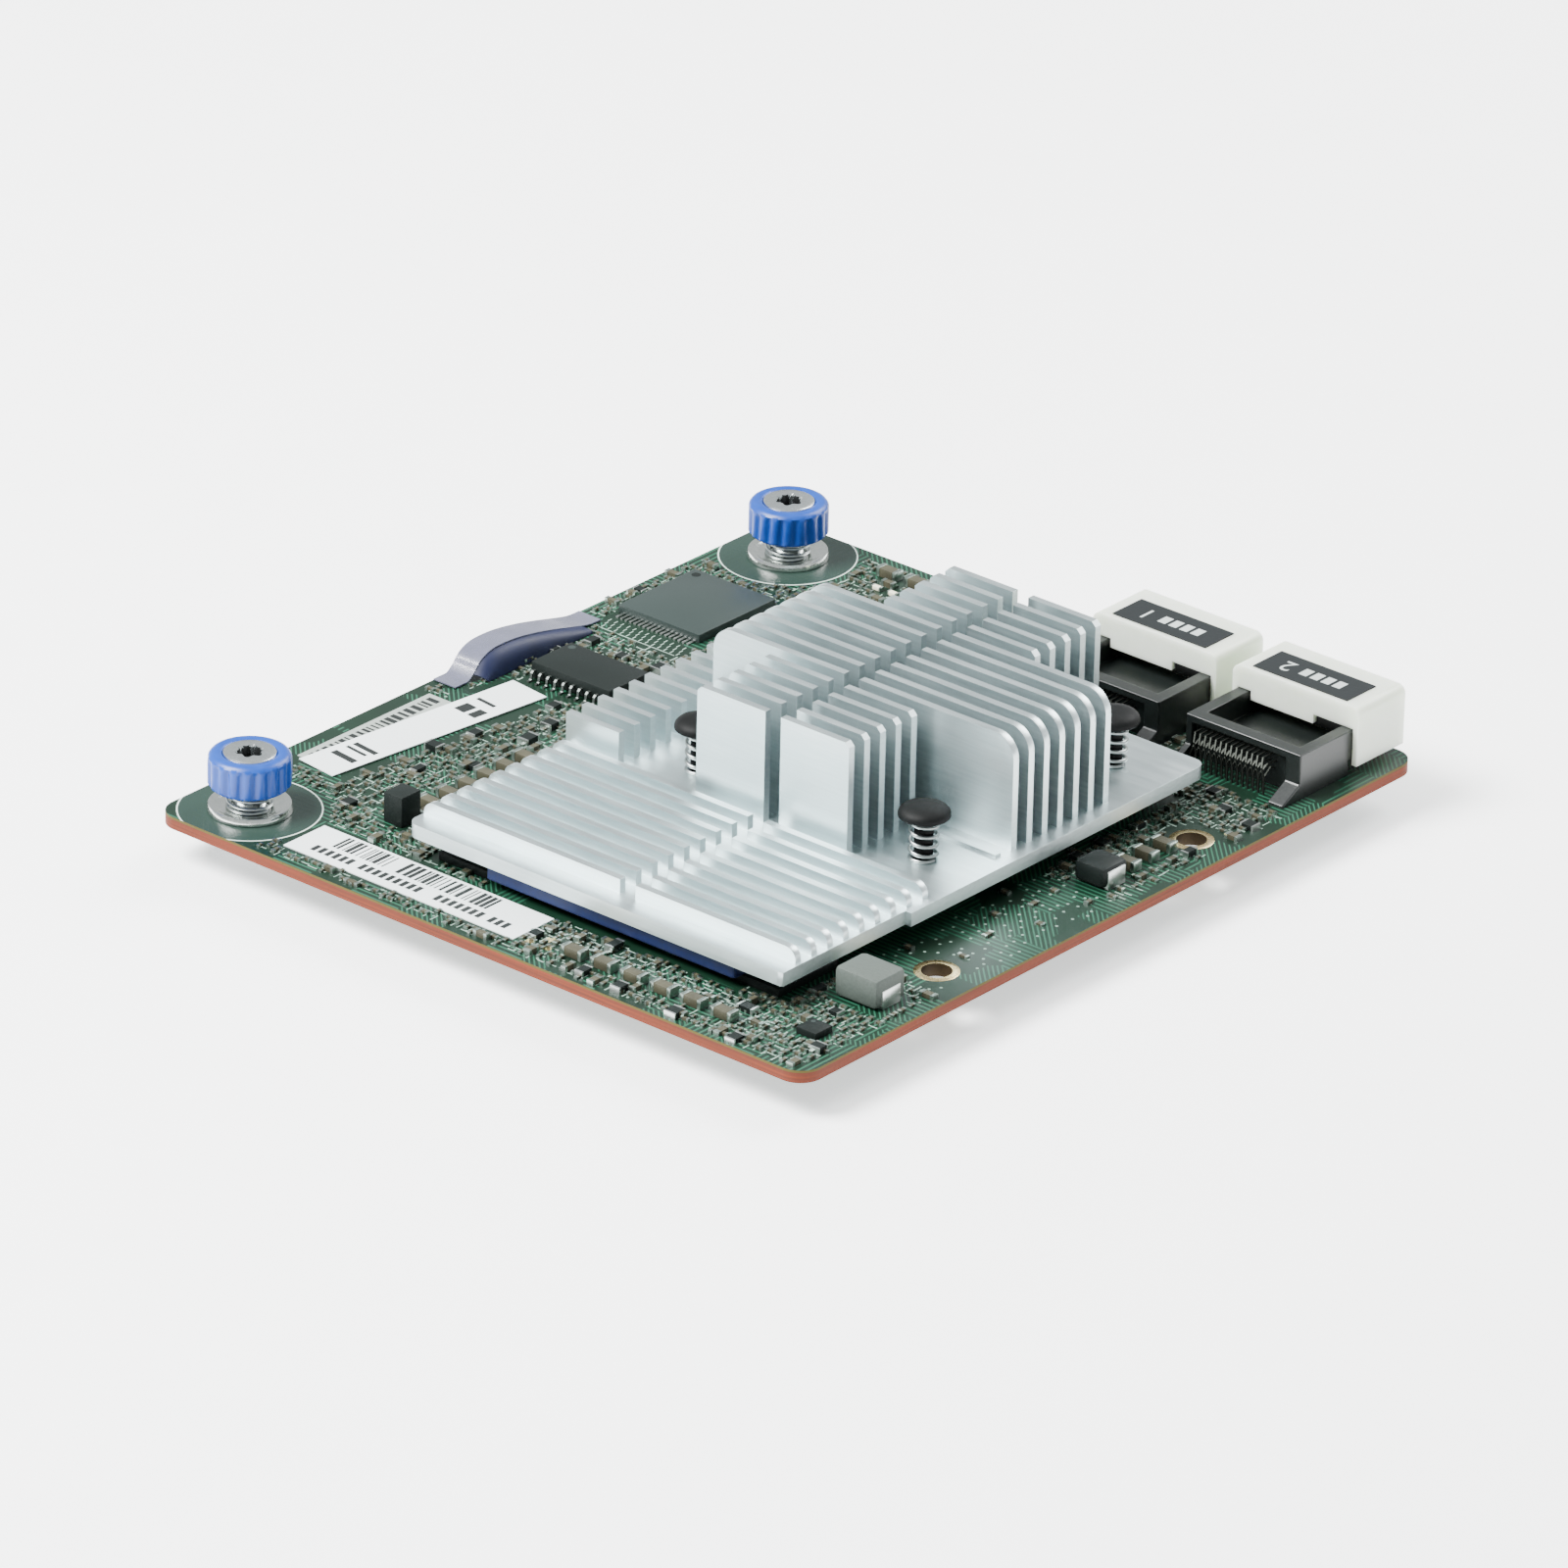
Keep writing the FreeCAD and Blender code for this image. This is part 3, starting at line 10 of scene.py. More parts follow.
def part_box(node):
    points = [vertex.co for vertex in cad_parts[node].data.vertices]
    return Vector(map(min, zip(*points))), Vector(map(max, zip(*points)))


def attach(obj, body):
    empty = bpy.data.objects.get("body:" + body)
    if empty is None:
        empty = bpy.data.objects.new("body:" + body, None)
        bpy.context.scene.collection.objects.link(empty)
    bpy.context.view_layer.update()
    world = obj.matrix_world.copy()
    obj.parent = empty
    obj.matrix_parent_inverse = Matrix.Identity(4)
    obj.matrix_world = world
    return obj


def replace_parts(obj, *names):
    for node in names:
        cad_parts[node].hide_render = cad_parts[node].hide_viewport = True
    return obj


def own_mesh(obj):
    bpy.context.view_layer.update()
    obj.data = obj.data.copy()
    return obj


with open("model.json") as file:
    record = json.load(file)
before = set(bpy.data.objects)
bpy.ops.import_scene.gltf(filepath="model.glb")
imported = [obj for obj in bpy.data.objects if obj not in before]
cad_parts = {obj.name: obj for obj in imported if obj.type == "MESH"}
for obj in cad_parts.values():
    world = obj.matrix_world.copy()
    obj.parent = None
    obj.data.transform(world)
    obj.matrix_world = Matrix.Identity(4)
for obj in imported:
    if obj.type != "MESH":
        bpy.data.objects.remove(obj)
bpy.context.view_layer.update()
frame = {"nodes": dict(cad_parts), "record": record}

MM = 0.001

# ---- Board
# The board is 1.6 mm of glass cloth and epoxy under a green solder mask, with its copper tracks showing
# through as paler lines. Its routed edge is bare reddish-brown laminate. The two mounting holes have
# gold-plated rings, and the thumbscrews stand on round fields that are kept free of parts.


def colour(hex_code):
    """A paint-chart sRGB hex value as the linear colour that a shader takes."""
    parts = [int(hex_code[k:k + 2], 16) / 255 for k in (1, 3, 5)]
    return [c / 12.92 if c <= 0.04045 else ((c + 0.055) / 1.055) ** 2.4 for c in parts] + [1.0]


def add(tree, kind, feeds=None, **settings):
    """One node in a tree: its settings, and what each socket takes, a value or another node's socket."""
    made = tree.nodes.new(kind)
    for setting, value in settings.items():
        setattr(made, setting, value)
    for socket, value in (feeds or {}).items():
        if isinstance(value, bpy.types.NodeSocket):
            tree.links.new(value, made.inputs[socket])
        else:
            made.inputs[socket].default_value = value
    return made


def bare_finish(name, **fixed):
    """A new finish, its node tree and its shader, with the shader's fixed values set on its own sockets."""
    finish = bpy.data.materials.new(name)
    finish.use_nodes = True
    shader = finish.node_tree.nodes["Principled BSDF"]
    for socket, value in fixed.items():
        shader.inputs[socket.replace("_", " ")].default_value = value
    return finish, finish.node_tree, shader


def dress(node, finish):
    """Gives a carried-over CAD part its finish."""
    part = frame["nodes"][node]
    part.data.materials.clear()
    part.data.materials.append(finish)
    return part


def soften(part, edge, faces=2):
    """Rounds the sharp edges of a carried-over CAD part with live modifiers; its own mesh is left alone."""
    weld = part.modifiers.new("join_faces", "WELD")
    weld.merge_threshold = 0.00001
    rounding = part.modifiers.new("edge_rounding", "BEVEL")
    rounding.width = edge
    rounding.segments = faces
    rounding.limit_method = "ANGLE"
    rounding.angle_limit = math.radians(35)
    rounding.harden_normals = False
    return part


board_low, board_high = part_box("pcb")
board_top = board_high.z
screw_spots = {end: sum(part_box(f"{end}_ferrule"), Vector()) / 2 for end in ("front", "rear")}
board_holes = next(mount for mount in frame["record"]["mounts"] if mount["name"] == "board_holes")
hole_radius = board_holes["dims"]["hole_r_mm"] * MM
hole_spacing = board_holes["dims"]["spacing_y_mm"] * MM
hole_spots = [Vector(board_holes["pos_m"]) + Vector((0, way * hole_spacing / 2, 0)) for way in (-1, 1)]

# Solder mask over copper: a satin green film with fine paler tracks, on matt brown laminate at the edges.
# Real tracks are 0.2 mm apart; these are 0.8 mm apart, so that they show.
track_pitch = 0.0008
kept_free_radius = 0.0086
ring_line_width = 0.0002
ply_depth = 0.0002
solder_mask, tree, shader = bare_finish("solder_mask_on_laminate", IOR=1.5, Specular_IOR_Level=0.35)
place = add(tree, "ShaderNodeTexCoord").outputs["Object"]
axes = add(tree, "ShaderNodeSeparateXYZ", {0: place})
x_axis, y_axis, z_axis = axes.outputs
clouds = add(tree, "ShaderNodeTexNoise", {"Vector": place, "Scale": 1 / 0.007, "Detail": 3.0})
mask_tone = add(tree, "ShaderNodeMix", {"Factor": clouds.outputs["Fac"], 6: colour("#05140b"),
                                        7: colour("#0b281a")}, data_type="RGBA")
# The board is split into fields a few millimetres wide, whose tracks run across, along or on the slant.
field = add(tree, "ShaderNodeTexVoronoi", {"Vector": place, "Scale": 1 / 0.0065, "Randomness": 0.8},
            distance="CHEBYCHEV")
field_pick = add(tree, "ShaderNodeSeparateColor", {0: field.outputs["Color"]})
slanting = add(tree, "ShaderNodeMath", {0: x_axis, 1: y_axis}, operation="ADD")
across = add(tree, "ShaderNodeMath", {0: field_pick.outputs["Red"], 1: 0.45}, operation="GREATER_THAN")
along = add(tree, "ShaderNodeMix", {"Factor": across.outputs[0], 2: x_axis, 3: slanting.outputs[0]})
turned_field = add(tree, "ShaderNodeMath", {0: field_pick.outputs["Green"], 1: 0.55},
                   operation="GREATER_THAN")
run = add(tree, "ShaderNodeMix", {"Factor": turned_field.outputs[0], 2: along.outputs[0], 3: y_axis})
step = add(tree, "ShaderNodeMath", {0: run.outputs[0], 1: track_pitch}, operation="DIVIDE")
fraction = add(tree, "ShaderNodeMath", {0: step.outputs[0]}, operation="FRACT")
track = add(tree, "ShaderNodeMath", {0: fraction.outputs[0], 1: 0.66}, operation="GREATER_THAN")
routed = add(tree, "ShaderNodeMath", {0: field_pick.outputs["Blue"], 1: 0.35}, operation="GREATER_THAN")
shown_track = add(tree, "ShaderNodeMath", {0: track.outputs[0], 1: routed.outputs[0]}, operation="MULTIPLY")
faint_track = add(tree, "ShaderNodeMath", {0: shown_track.outputs[0], 1: 0.7}, operation="MULTIPLY")
with_tracks = add(tree, "ShaderNodeMix", {"Factor": faint_track.outputs[0], 6: mask_tone.outputs[2],
                                          7: colour("#2b5f49")}, data_type="RGBA")
# A white ring is printed round each thumbscrew's kept-free disc.
flat_place = add(tree, "ShaderNodeCombineXYZ", {"X": x_axis, "Y": y_axis})
reaches = []
for spot in screw_spots.values():
    reaches.append(add(tree, "ShaderNodeVectorMath", {0: flat_place.outputs[0], 1: (spot.x, spot.y, 0)},
                       operation="DISTANCE").outputs["Value"])
reach = add(tree, "ShaderNodeMath", {0: reaches[0], 1: reaches[1]}, operation="MINIMUM")
kept_free = add(tree, "ShaderNodeMath", {0: reach.outputs[0], 1: kept_free_radius}, operation="LESS_THAN")
inside_ring = add(tree, "ShaderNodeMath", {0: reach.outputs[0], 1: kept_free_radius + ring_line_width},
                  operation="LESS_THAN")
ring_line = add(tree, "ShaderNodeMath", {0: inside_ring.outputs[0], 1: kept_free.outputs[0]},
                operation="SUBTRACT")
with_discs = add(tree, "ShaderNodeMix", {"Factor": kept_free.outputs[0], 6: with_tracks.outputs[2],
                                         7: colour("#1d3029")}, data_type="RGBA")
with_rings = add(tree, "ShaderNodeMix", {"Factor": ring_line.outputs[0], 6: with_discs.outputs[2],
                                         7: colour("#c3d2c8")}, data_type="RGBA")
# The routed edge shows the glass plies as brown streaks, and the topmost one olive under the mask's lip.
ply_place = add(tree, "ShaderNodeMapping", {"Vector": place, "Scale": (60, 60, 1 / ply_depth)})
plies = add(tree, "ShaderNodeTexNoise", {"Vector": ply_place.outputs[0], "Scale": 1.0, "Detail": 2.0})
laminate = add(tree, "ShaderNodeMix", {"Factor": plies.outputs["Fac"], 6: colour("#2c1004"),
                                       7: colour("#7d300e")}, data_type="RGBA")
edge_top = add(tree, "ShaderNodeMath", {0: z_axis, 1: board_top - 0.0003}, operation="GREATER_THAN")
edged = add(tree, "ShaderNodeMix", {"Factor": edge_top.outputs[0], 6: laminate.outputs[2],
                                    7: colour("#4a3f0c")}, data_type="RGBA")
facing = add(tree, "ShaderNodeSeparateXYZ", {0: add(tree, "ShaderNodeNewGeometry").outputs["Normal"]})
upright = add(tree, "ShaderNodeMath", {0: facing.outputs["Z"]}, operation="ABSOLUTE")
is_flat = add(tree, "ShaderNodeMath", {0: upright.outputs[0], 1: 0.6}, operation="GREATER_THAN")
whole = add(tree, "ShaderNodeMix", {"Factor": is_flat.outputs[0], 6: edged.outputs[2],
                                    7: with_rings.outputs[2]}, data_type="RGBA")
gloss = add(tree, "ShaderNodeMix", {"Factor": is_flat.outputs[0], 2: 0.75, 3: 0.38})
lift = add(tree, "ShaderNodeBump", {"Height": shown_track.outputs[0], "Distance": 0.00002, "Strength": 0.6})
tree.links.new(whole.outputs[2], shader.inputs["Base Color"])
tree.links.new(gloss.outputs[0], shader.inputs["Roughness"])
tree.links.new(lift.outputs[0], shader.inputs["Normal"])
dress("pcb", solder_mask)


def worked(name, dark, light, grain, rough, relief=0.00001, stretch=(1, 1, 1), **fixed):
    """A finish whose tone, gloss and relief wander between two values at one grain size in metres."""
    finish, tree, shader = bare_finish(name, **fixed)
    place = add(tree, "ShaderNodeTexCoord").outputs["Object"]
    spread = add(tree, "ShaderNodeMapping", {"Vector": place, "Scale": [s / grain for s in stretch]})
    fine = add(tree, "ShaderNodeTexNoise", {"Vector": spread.outputs[0], "Scale": 1.0, "Detail": 3.0})
    broad = add(tree, "ShaderNodeTexNoise", {"Vector": place, "Scale": 1 / 0.012, "Detail": 2.0})
    both = add(tree, "ShaderNodeMix", {"Factor": 0.45, 2: fine.outputs["Fac"], 3: broad.outputs["Fac"]})
    tone = add(tree, "ShaderNodeMix", {"Factor": both.outputs[0], 6: colour(dark), 7: colour(light)},
               data_type="RGBA")
    gloss = add(tree, "ShaderNodeMapRange", {"Value": fine.outputs["Fac"], "To Min": rough - 0.07,
                                             "To Max": rough + 0.07})
    lift = add(tree, "ShaderNodeBump", {"Height": fine.outputs["Fac"], "Distance": relief, "Strength": 0.7})
    tree.links.new(tone.outputs[2], shader.inputs["Base Color"])
    tree.links.new(gloss.outputs[0], shader.inputs["Roughness"])
    tree.links.new(lift.outputs[0], shader.inputs["Normal"])
    return finish


def finished_piece(name, mesh, body, finish=None):
    """Puts a mesh in the scene as a piece of one body and its finish."""
    piece = bpy.data.objects.new(name, mesh)
    bpy.context.scene.collection.objects.link(piece)
    if finish:
        mesh.materials.clear()
        mesh.materials.append(finish)
    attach(piece, body)
    return piece


def turned_mesh(name, rows, centre, segments=64, closed=True):
    """A shape turned on an upright axis. Each row is a radius, or a rule for it by angle, and a height."""
    shape = bmesh.new()
    loops = []
    for radius, height in rows:
        loop = []
        for k in range(segments):
            angle = math.tau * k / segments
            reach = radius(angle) if callable(radius) else radius
            x = centre[0] + reach * math.cos(angle)
            y = centre[1] + reach * math.sin(angle)
            loop.append(shape.verts.new((x, y, height)))
        loops.append(loop)
    pairs = list(zip(loops, loops[1:])) + ([(loops[-1], loops[0])] if closed else [])
    for lower, upper in pairs:
        for k in range(segments):
            shape.faces.new((lower[k], lower[(k + 1) % segments], upper[(k + 1) % segments], upper[k]))
    bmesh.ops.remove_doubles(shape, verts=shape.verts, dist=1e-7)
    bmesh.ops.recalc_face_normals(shape, faces=shape.faces)
    for face in shape.faces:
        face.smooth = True
    mesh = bpy.data.meshes.new(name)
    shape.to_mesh(mesh)
    shape.free()
    mesh.set_sharp_from_angle(angle=math.radians(32))
    return mesh


# Electroless gold over copper: pale, slightly pebbled, soft gloss.
plated_gold = worked("plated_gold_ring", "#b89a5a", "#ecdcae", 0.0004, 0.28, Metallic=1.0)
# Inside the holes the bore is painted dull dark brown: painted shade over the plating.
bore_painted_shade = worked("bore_painted_shade_brown", "#1d150a", "#4a3a20", 0.0005, 0.5, Metallic=0.6)
# The copper stands 0.03 mm proud of both faces, and lines the bore 0.04 mm thick.
under = board_low.z
inside = hole_radius - 0.00004
ring = [(inside, under - 0.00003), (0.0027, under - 0.00003), (0.00275, under), (hole_radius, under),
        (hole_radius, board_top), (0.00275, board_top), (0.0027, board_top + 0.00003),
        (inside, board_top + 0.00003)]
for number, spot in enumerate(hole_spots):
    lining = finished_piece(f"hole_ring_{number + 1}", turned_mesh("hole_ring", ring, spot), "card",
                            plated_gold)
    # The faces of the bore's wall take the painted shade as a second finish.
    lining.data.materials.append(bore_painted_shade)
    for face in lining.data.polygons:
        face.material_index = 1 if abs(face.normal.z) < 0.5 and under < face.center.z < board_top else 0

# ---- Underside connector
# A black glass-filled nylon housing soldered under the board between the thumbscrews. It plugs into the host
# board and carries fine tinned contacts whose feet come out on both sides.

# Moulded nylon with glass fibre: near black, with a faint pebble of 0.3 mm.
connector_nylon = worked("glass_filled_nylon", "#0b0e0e", "#1b2020", 0.0003, 0.5, IOR=1.53,
                         Specular_IOR_Level=0.35)
# Tin plate: silvery, with the slightly uneven gloss of a dipped coat.
tinned_metal = worked("tin_plated_metal", "#a9aeab", "#dfe3df", 0.0005, 0.3, Metallic=1.0)
soften(dress("mezzanine_connector", connector_nylon), 0.00015)


def tube(shape, rings):
    """Joins rings of points into a tube with closed ends, in an open shape, and gives its faces."""
    around = len(rings[0])
    walls = [shape.faces.new((lower[k], lower[(k + 1) % around], upper[(k + 1) % around], upper[k]))
             for lower, upper in zip(rings, rings[1:]) for k in range(around)]
    return walls + [shape.faces.new(rings[0][::-1]), shape.faces.new(rings[-1])]


def bent_strip(shape, path, wide, thick, offset, leans=None):
    """A flat metal strip bent along a path in the plane across its width, added to an open shape.

    leans moves each point of the path sideways."""
    rings = []
    for here in range(len(path)):
        before = Vector(path[max(here - 1, 0)])
        after = Vector(path[min(here + 1, len(path) - 1)])
        run = (after - before).normalized()
        normal = Vector((-run.y, run.x)) * thick / 2
        ring = []
        for x, way in ((-wide / 2, -1), (wide / 2, -1), (wide / 2, 1), (-wide / 2, 1)):
            point = Vector(path[here]) + normal * way
            lean = leans[here] if leans else 0
            ring.append(shape.verts.new((offset[0] + x + lean, offset[1] + point.x, offset[2] + point.y)))
        rings.append(ring)
    tube(shape, rings)


def mesh_of(shape, name, smooth_angle=None, finishes=()):
    """Ends an open shape as a mesh whose faces point outwards, with the finishes that its faces count."""
    bmesh.ops.recalc_face_normals(shape, faces=shape.faces)
    mesh = bpy.data.meshes.new(name)
    shape.to_mesh(mesh)
    shape.free()
    if smooth_angle:
        mesh.shade_smooth()
        mesh.set_sharp_from_angle(angle=math.radians(smooth_angle))
    for finish in finishes:
        mesh.materials.append(finish)
    return mesh


def new_tree(name, **inputs):
    """An empty geometry tree with named inputs, and its entry node."""
    tree = bpy.data.node_groups.new(name, "GeometryNodeTree")
    tree.interface.new_socket(name="Geometry", in_out="INPUT", socket_type="NodeSocketGeometry")
    for label, kind in inputs.items():
        tree.interface.new_socket(name=label, in_out="INPUT", socket_type="NodeSocket" + kind)
    tree.interface.new_socket(name="Geometry", in_out="OUTPUT", socket_type="NodeSocketGeometry")
    return tree, add(tree, "NodeGroupInput")


def close_tree(tree, grown, finish):
    """Ends a tree: what it has grown becomes one plain mesh with one finish."""
    joined = add(tree, "GeometryNodeRealizeInstances", {0: grown.outputs[0]})
    coated = add(tree, "GeometryNodeSetMaterial", {0: joined.outputs[0], "Material": finish})
    add(tree, "NodeGroupOutput", {0: coated.outputs[0]})


def grown_mesh(name, tree, ground=None, **values):
    """The plain mesh that a geometry tree makes from its ground mesh and its input values."""
    start = bpy.data.objects.new(name, ground or bpy.data.meshes.new(name))
    bpy.context.scene.collection.objects.link(start)
    growth = start.modifiers.new(name, "NODES")
    growth.node_group = tree
    for item in tree.interface.items_tree:
        if item.in_out == "INPUT" and item.name in values:
            growth[item.identifier] = values[item.name]
    bpy.context.view_layer.update()
    settled = start.evaluated_get(bpy.context.evaluated_depsgraph_get())
    mesh = bpy.data.meshes.new_from_object(settled)
    bpy.data.objects.remove(start)
    return mesh


# A row repeats its ground mesh along a straight line.
row_tree, entry = new_tree("row_of_leads", Count="Int", Step="Vector", Finish="Material")
line = add(row_tree, "GeometryNodeMeshLine",
           {"Count": entry.outputs["Count"], "Offset": entry.outputs["Step"]})
copies = add(row_tree, "GeometryNodeInstanceOnPoints",
             {"Points": line.outputs[0], "Instance": entry.outputs[0]})
close_tree(row_tree, copies, entry.outputs["Finish"])

# Each tail is a flat foot, 0.4 mm wide and 0.24 mm thick, that comes 1.3 mm out of the housing.
tail_pitch = 0.0008
mezz_low, mezz_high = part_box("mezzanine_connector")
tail_low, tail_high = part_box("mezzanine_contacts")
shape = bmesh.new()
for way, edge in ((-1, mezz_low.x), (1, mezz_high.x)):
    for corner in bmesh.ops.create_cube(shape, size=1.0)["verts"]:
        x = edge + way * (0.0013 if corner.co.x * way > 0 else -0.0002)
        y = tail_low.y + 0.00025 + corner.co.y * 0.0004
        corner.co = Vector((x, y, tail_high.z - (0.00024 if corner.co.z < 0 else 0)))
tail_count = int((tail_high.y - tail_low.y) / tail_pitch)
tails = grown_mesh("mezzanine_tails", row_tree, mesh_of(shape, "tail"), Count=tail_count,
                   Step=(0, tail_pitch, 0), Finish=tinned_metal)
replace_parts(finished_piece("mezzanine_tails", tails, "card"), "mezzanine_contacts")

# ---- Chip capacitors and resistors
# Ceramic blocks of 1 to 3 mm with tinned ends, soldered flat on the board. Hundreds of them fill the space
# round the heatsink and under the board, with printed ticks between them.


def solids_of(node):
    """The lowest and highest corner of each separate solid in a CAD part."""
    shape = bmesh.new()
    shape.from_mesh(frame["nodes"][node].data)
    bmesh.ops.remove_doubles(shape, verts=shape.verts, dist=1e-6)
    boxes, waiting = [], set(shape.verts)
    while waiting:
        stack, found = [waiting.pop()], []
        while stack:
            vert = stack.pop()
            found.append(vert.co.copy())
            for edge in vert.link_edges:
                other = edge.other_vert(vert)
                if other in waiting:
                    waiting.remove(other)
                    stack.append(other)
        boxes.append([Vector([pick(co[k] for co in found) for k in range(3)]) for pick in (min, max)])
    shape.free()
    return boxes


# Fired ceramic: dull, from near black to grey-brown from one part to the next.
ceramic = worked("fired_ceramic", "#12150f", "#55523f", 0.0022, 0.5, IOR=1.6, Specular_IOR_Level=0.3)
# Reflowed tin solder: bright and slightly lumpy, so that the ends glint unevenly.
solder = worked("tin_solder", "#5d6d64", "#cad8cf", 0.0012, 0.32, Metallic=1.0)
# Moulding compound with carbon black: flat black, finely matt, with hardly any shine.
mould_black = worked("moulded_epoxy_black", "#090d0c", "#161d1b", 0.0002, 0.5, IOR=1.55,
                     Specular_IOR_Level=0.15)
# Screen-printed ink: thin chalky white that lets the green of the mask through.
print_ink = worked("white_print_ink", "#4f6a5c", "#b0c6b9", 0.0012, 0.6, IOR=1.5, Specular_IOR_Level=0.3)

# A field scatters two-ended blocks over its ground faces, square to the board.
field_tree, entry = new_tree("field_of_chip_parts", Gap="Float", Density="Float", Length="Float",
                             Width="Float", Height="Float", End="Float", Seed="Int", Finish="Material",
                             End_finish="Material")
points = add(field_tree, "GeometryNodeDistributePointsOnFaces",
             {"Mesh": entry.outputs[0], "Distance Min": entry.outputs["Gap"],
              "Density Max": entry.outputs["Density"], "Seed": entry.outputs["Seed"]},
             distribute_method="POISSON")
body_size = add(field_tree, "ShaderNodeCombineXYZ", {0: entry.outputs["Length"], 1: entry.outputs["Width"],
                                                     2: entry.outputs["Height"]})
block = add(field_tree, "GeometryNodeMeshCube", {"Size": body_size.outputs[0]})
# The solder stands 0.03 mm proud of the ceramic all round.
end_size = add(field_tree, "ShaderNodeVectorMath", {0: body_size.outputs[0], 1: (0.0, 0.00006, 0.00006)},
               operation="ADD")
end_depth = add(field_tree, "ShaderNodeSeparateXYZ", {0: end_size.outputs[0]})
end_block = add(field_tree, "ShaderNodeCombineXYZ", {0: entry.outputs["End"], 1: end_depth.outputs["Y"],
                                                     2: end_depth.outputs["Z"]})
end_cube = add(field_tree, "GeometryNodeMeshCube", {"Size": end_block.outputs[0]})
named = add(field_tree, "GeometryNodeStoreNamedAttribute",
            {"Geometry": end_cube.outputs[0], "Name": "tinned", "Value": True}, data_type="BOOLEAN",
            domain="FACE")
half = add(field_tree, "ShaderNodeMath", {0: entry.outputs["Length"], 1: 0.5}, operation="MULTIPLY")
both_ends = []
for way in (-1.0, 1.0):
    reach = add(field_tree, "ShaderNodeMath", {0: half.outputs[0], 1: way}, operation="MULTIPLY")
    shift = add(field_tree, "ShaderNodeCombineXYZ", {0: reach.outputs[0]})
    both_ends.append(add(field_tree, "GeometryNodeTransform", {"Geometry": named.outputs[0],
                                                               "Translation": shift.outputs[0]}))
part = add(field_tree, "GeometryNodeJoinGeometry")
field_tree.links.new(block.outputs[0], part.inputs[0])
for end in both_ends:
    field_tree.links.new(end.outputs[0], part.inputs[0])
rise = add(field_tree, "ShaderNodeMath", {0: entry.outputs["Height"], 1: 0.5}, operation="MULTIPLY")
stand = add(field_tree, "ShaderNodeCombineXYZ", {2: rise.outputs[0]})
standing = add(field_tree, "GeometryNodeTransform",
               {"Geometry": part.outputs[0], "Translation": stand.outputs[0]})
quarter = add(field_tree, "FunctionNodeRandomValue", {"Min": 0, "Max": 1, "Seed": entry.outputs["Seed"]},
              data_type="INT")
turn = add(field_tree, "ShaderNodeMath", {0: quarter.outputs[2], 1: math.pi / 2}, operation="MULTIPLY")
spin = add(field_tree, "ShaderNodeCombineXYZ", {2: turn.outputs[0]})
growth = add(field_tree, "FunctionNodeRandomValue", {"Min": (0.75, 0.75, 0.6), "Max": (1.25, 1.25, 1.0),
                                                     "Seed": entry.outputs["Seed"]}, data_type="FLOAT_VECTOR")
laid = add(field_tree, "GeometryNodeInstanceOnPoints",
           {"Points": points.outputs[0], "Instance": standing.outputs[0], "Rotation": spin.outputs[0],
            "Scale": growth.outputs[0]})
joined = add(field_tree, "GeometryNodeRealizeInstances", {0: laid.outputs[0]})
coated = add(field_tree, "GeometryNodeSetMaterial",
             {0: joined.outputs[0], "Material": entry.outputs["Finish"]})
is_tinned = add(field_tree, "GeometryNodeInputNamedAttribute", {"Name": "tinned"}, data_type="BOOLEAN")
soldered = add(field_tree, "GeometryNodeSetMaterial",
               {0: coated.outputs[0], "Selection": is_tinned.outputs[0],
                "Material": entry.outputs["End_finish"]})
add(field_tree, "NodeGroupOutput", {0: soldered.outputs[0]})

# The turned serial label is known by the middles of its two short ends.
label_points = {(round(v.co.x, 6), round(v.co.y, 6)) for v in frame["nodes"]["serial_label"].data.vertices}
serial_corners = sorted(label_points, key=lambda corner: corner[1])
serial_foot = (Vector(serial_corners[0]) + Vector(serial_corners[1])) / 2
serial_far = (Vector(serial_corners[-1]) + Vector(serial_corners[-2])) / 2
serial_way = (serial_far - serial_foot).normalized()
serial_side = Vector((serial_way.y, -serial_way.x))
serial_length = (serial_far - serial_foot).length

# What stands on the board, or hangs under it, takes its place, and so does what hangs less than 1.2 mm over
# it. The flash chip's fan-out is printed in front of it, on bare board.
small_part_height = 0.0012
fan_out_depth = 0.0046
flash_low, flash_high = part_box("flash_chip")
covered = []
covered_under = []
for name in frame["nodes"]:
    low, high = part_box(name)
    if name not in ("pcb", "serial_label") and low.z < board_top + small_part_height and high.z > board_top:
        covered.append((low, high))
    if name != "pcb" and low.z < board_low.z and high.z > 0:
        covered_under.append((low, high))
covered.append((Vector((flash_low.x, flash_low.y - fan_out_depth, board_top)),
                Vector((flash_high.x, flash_low.y, board_top))))


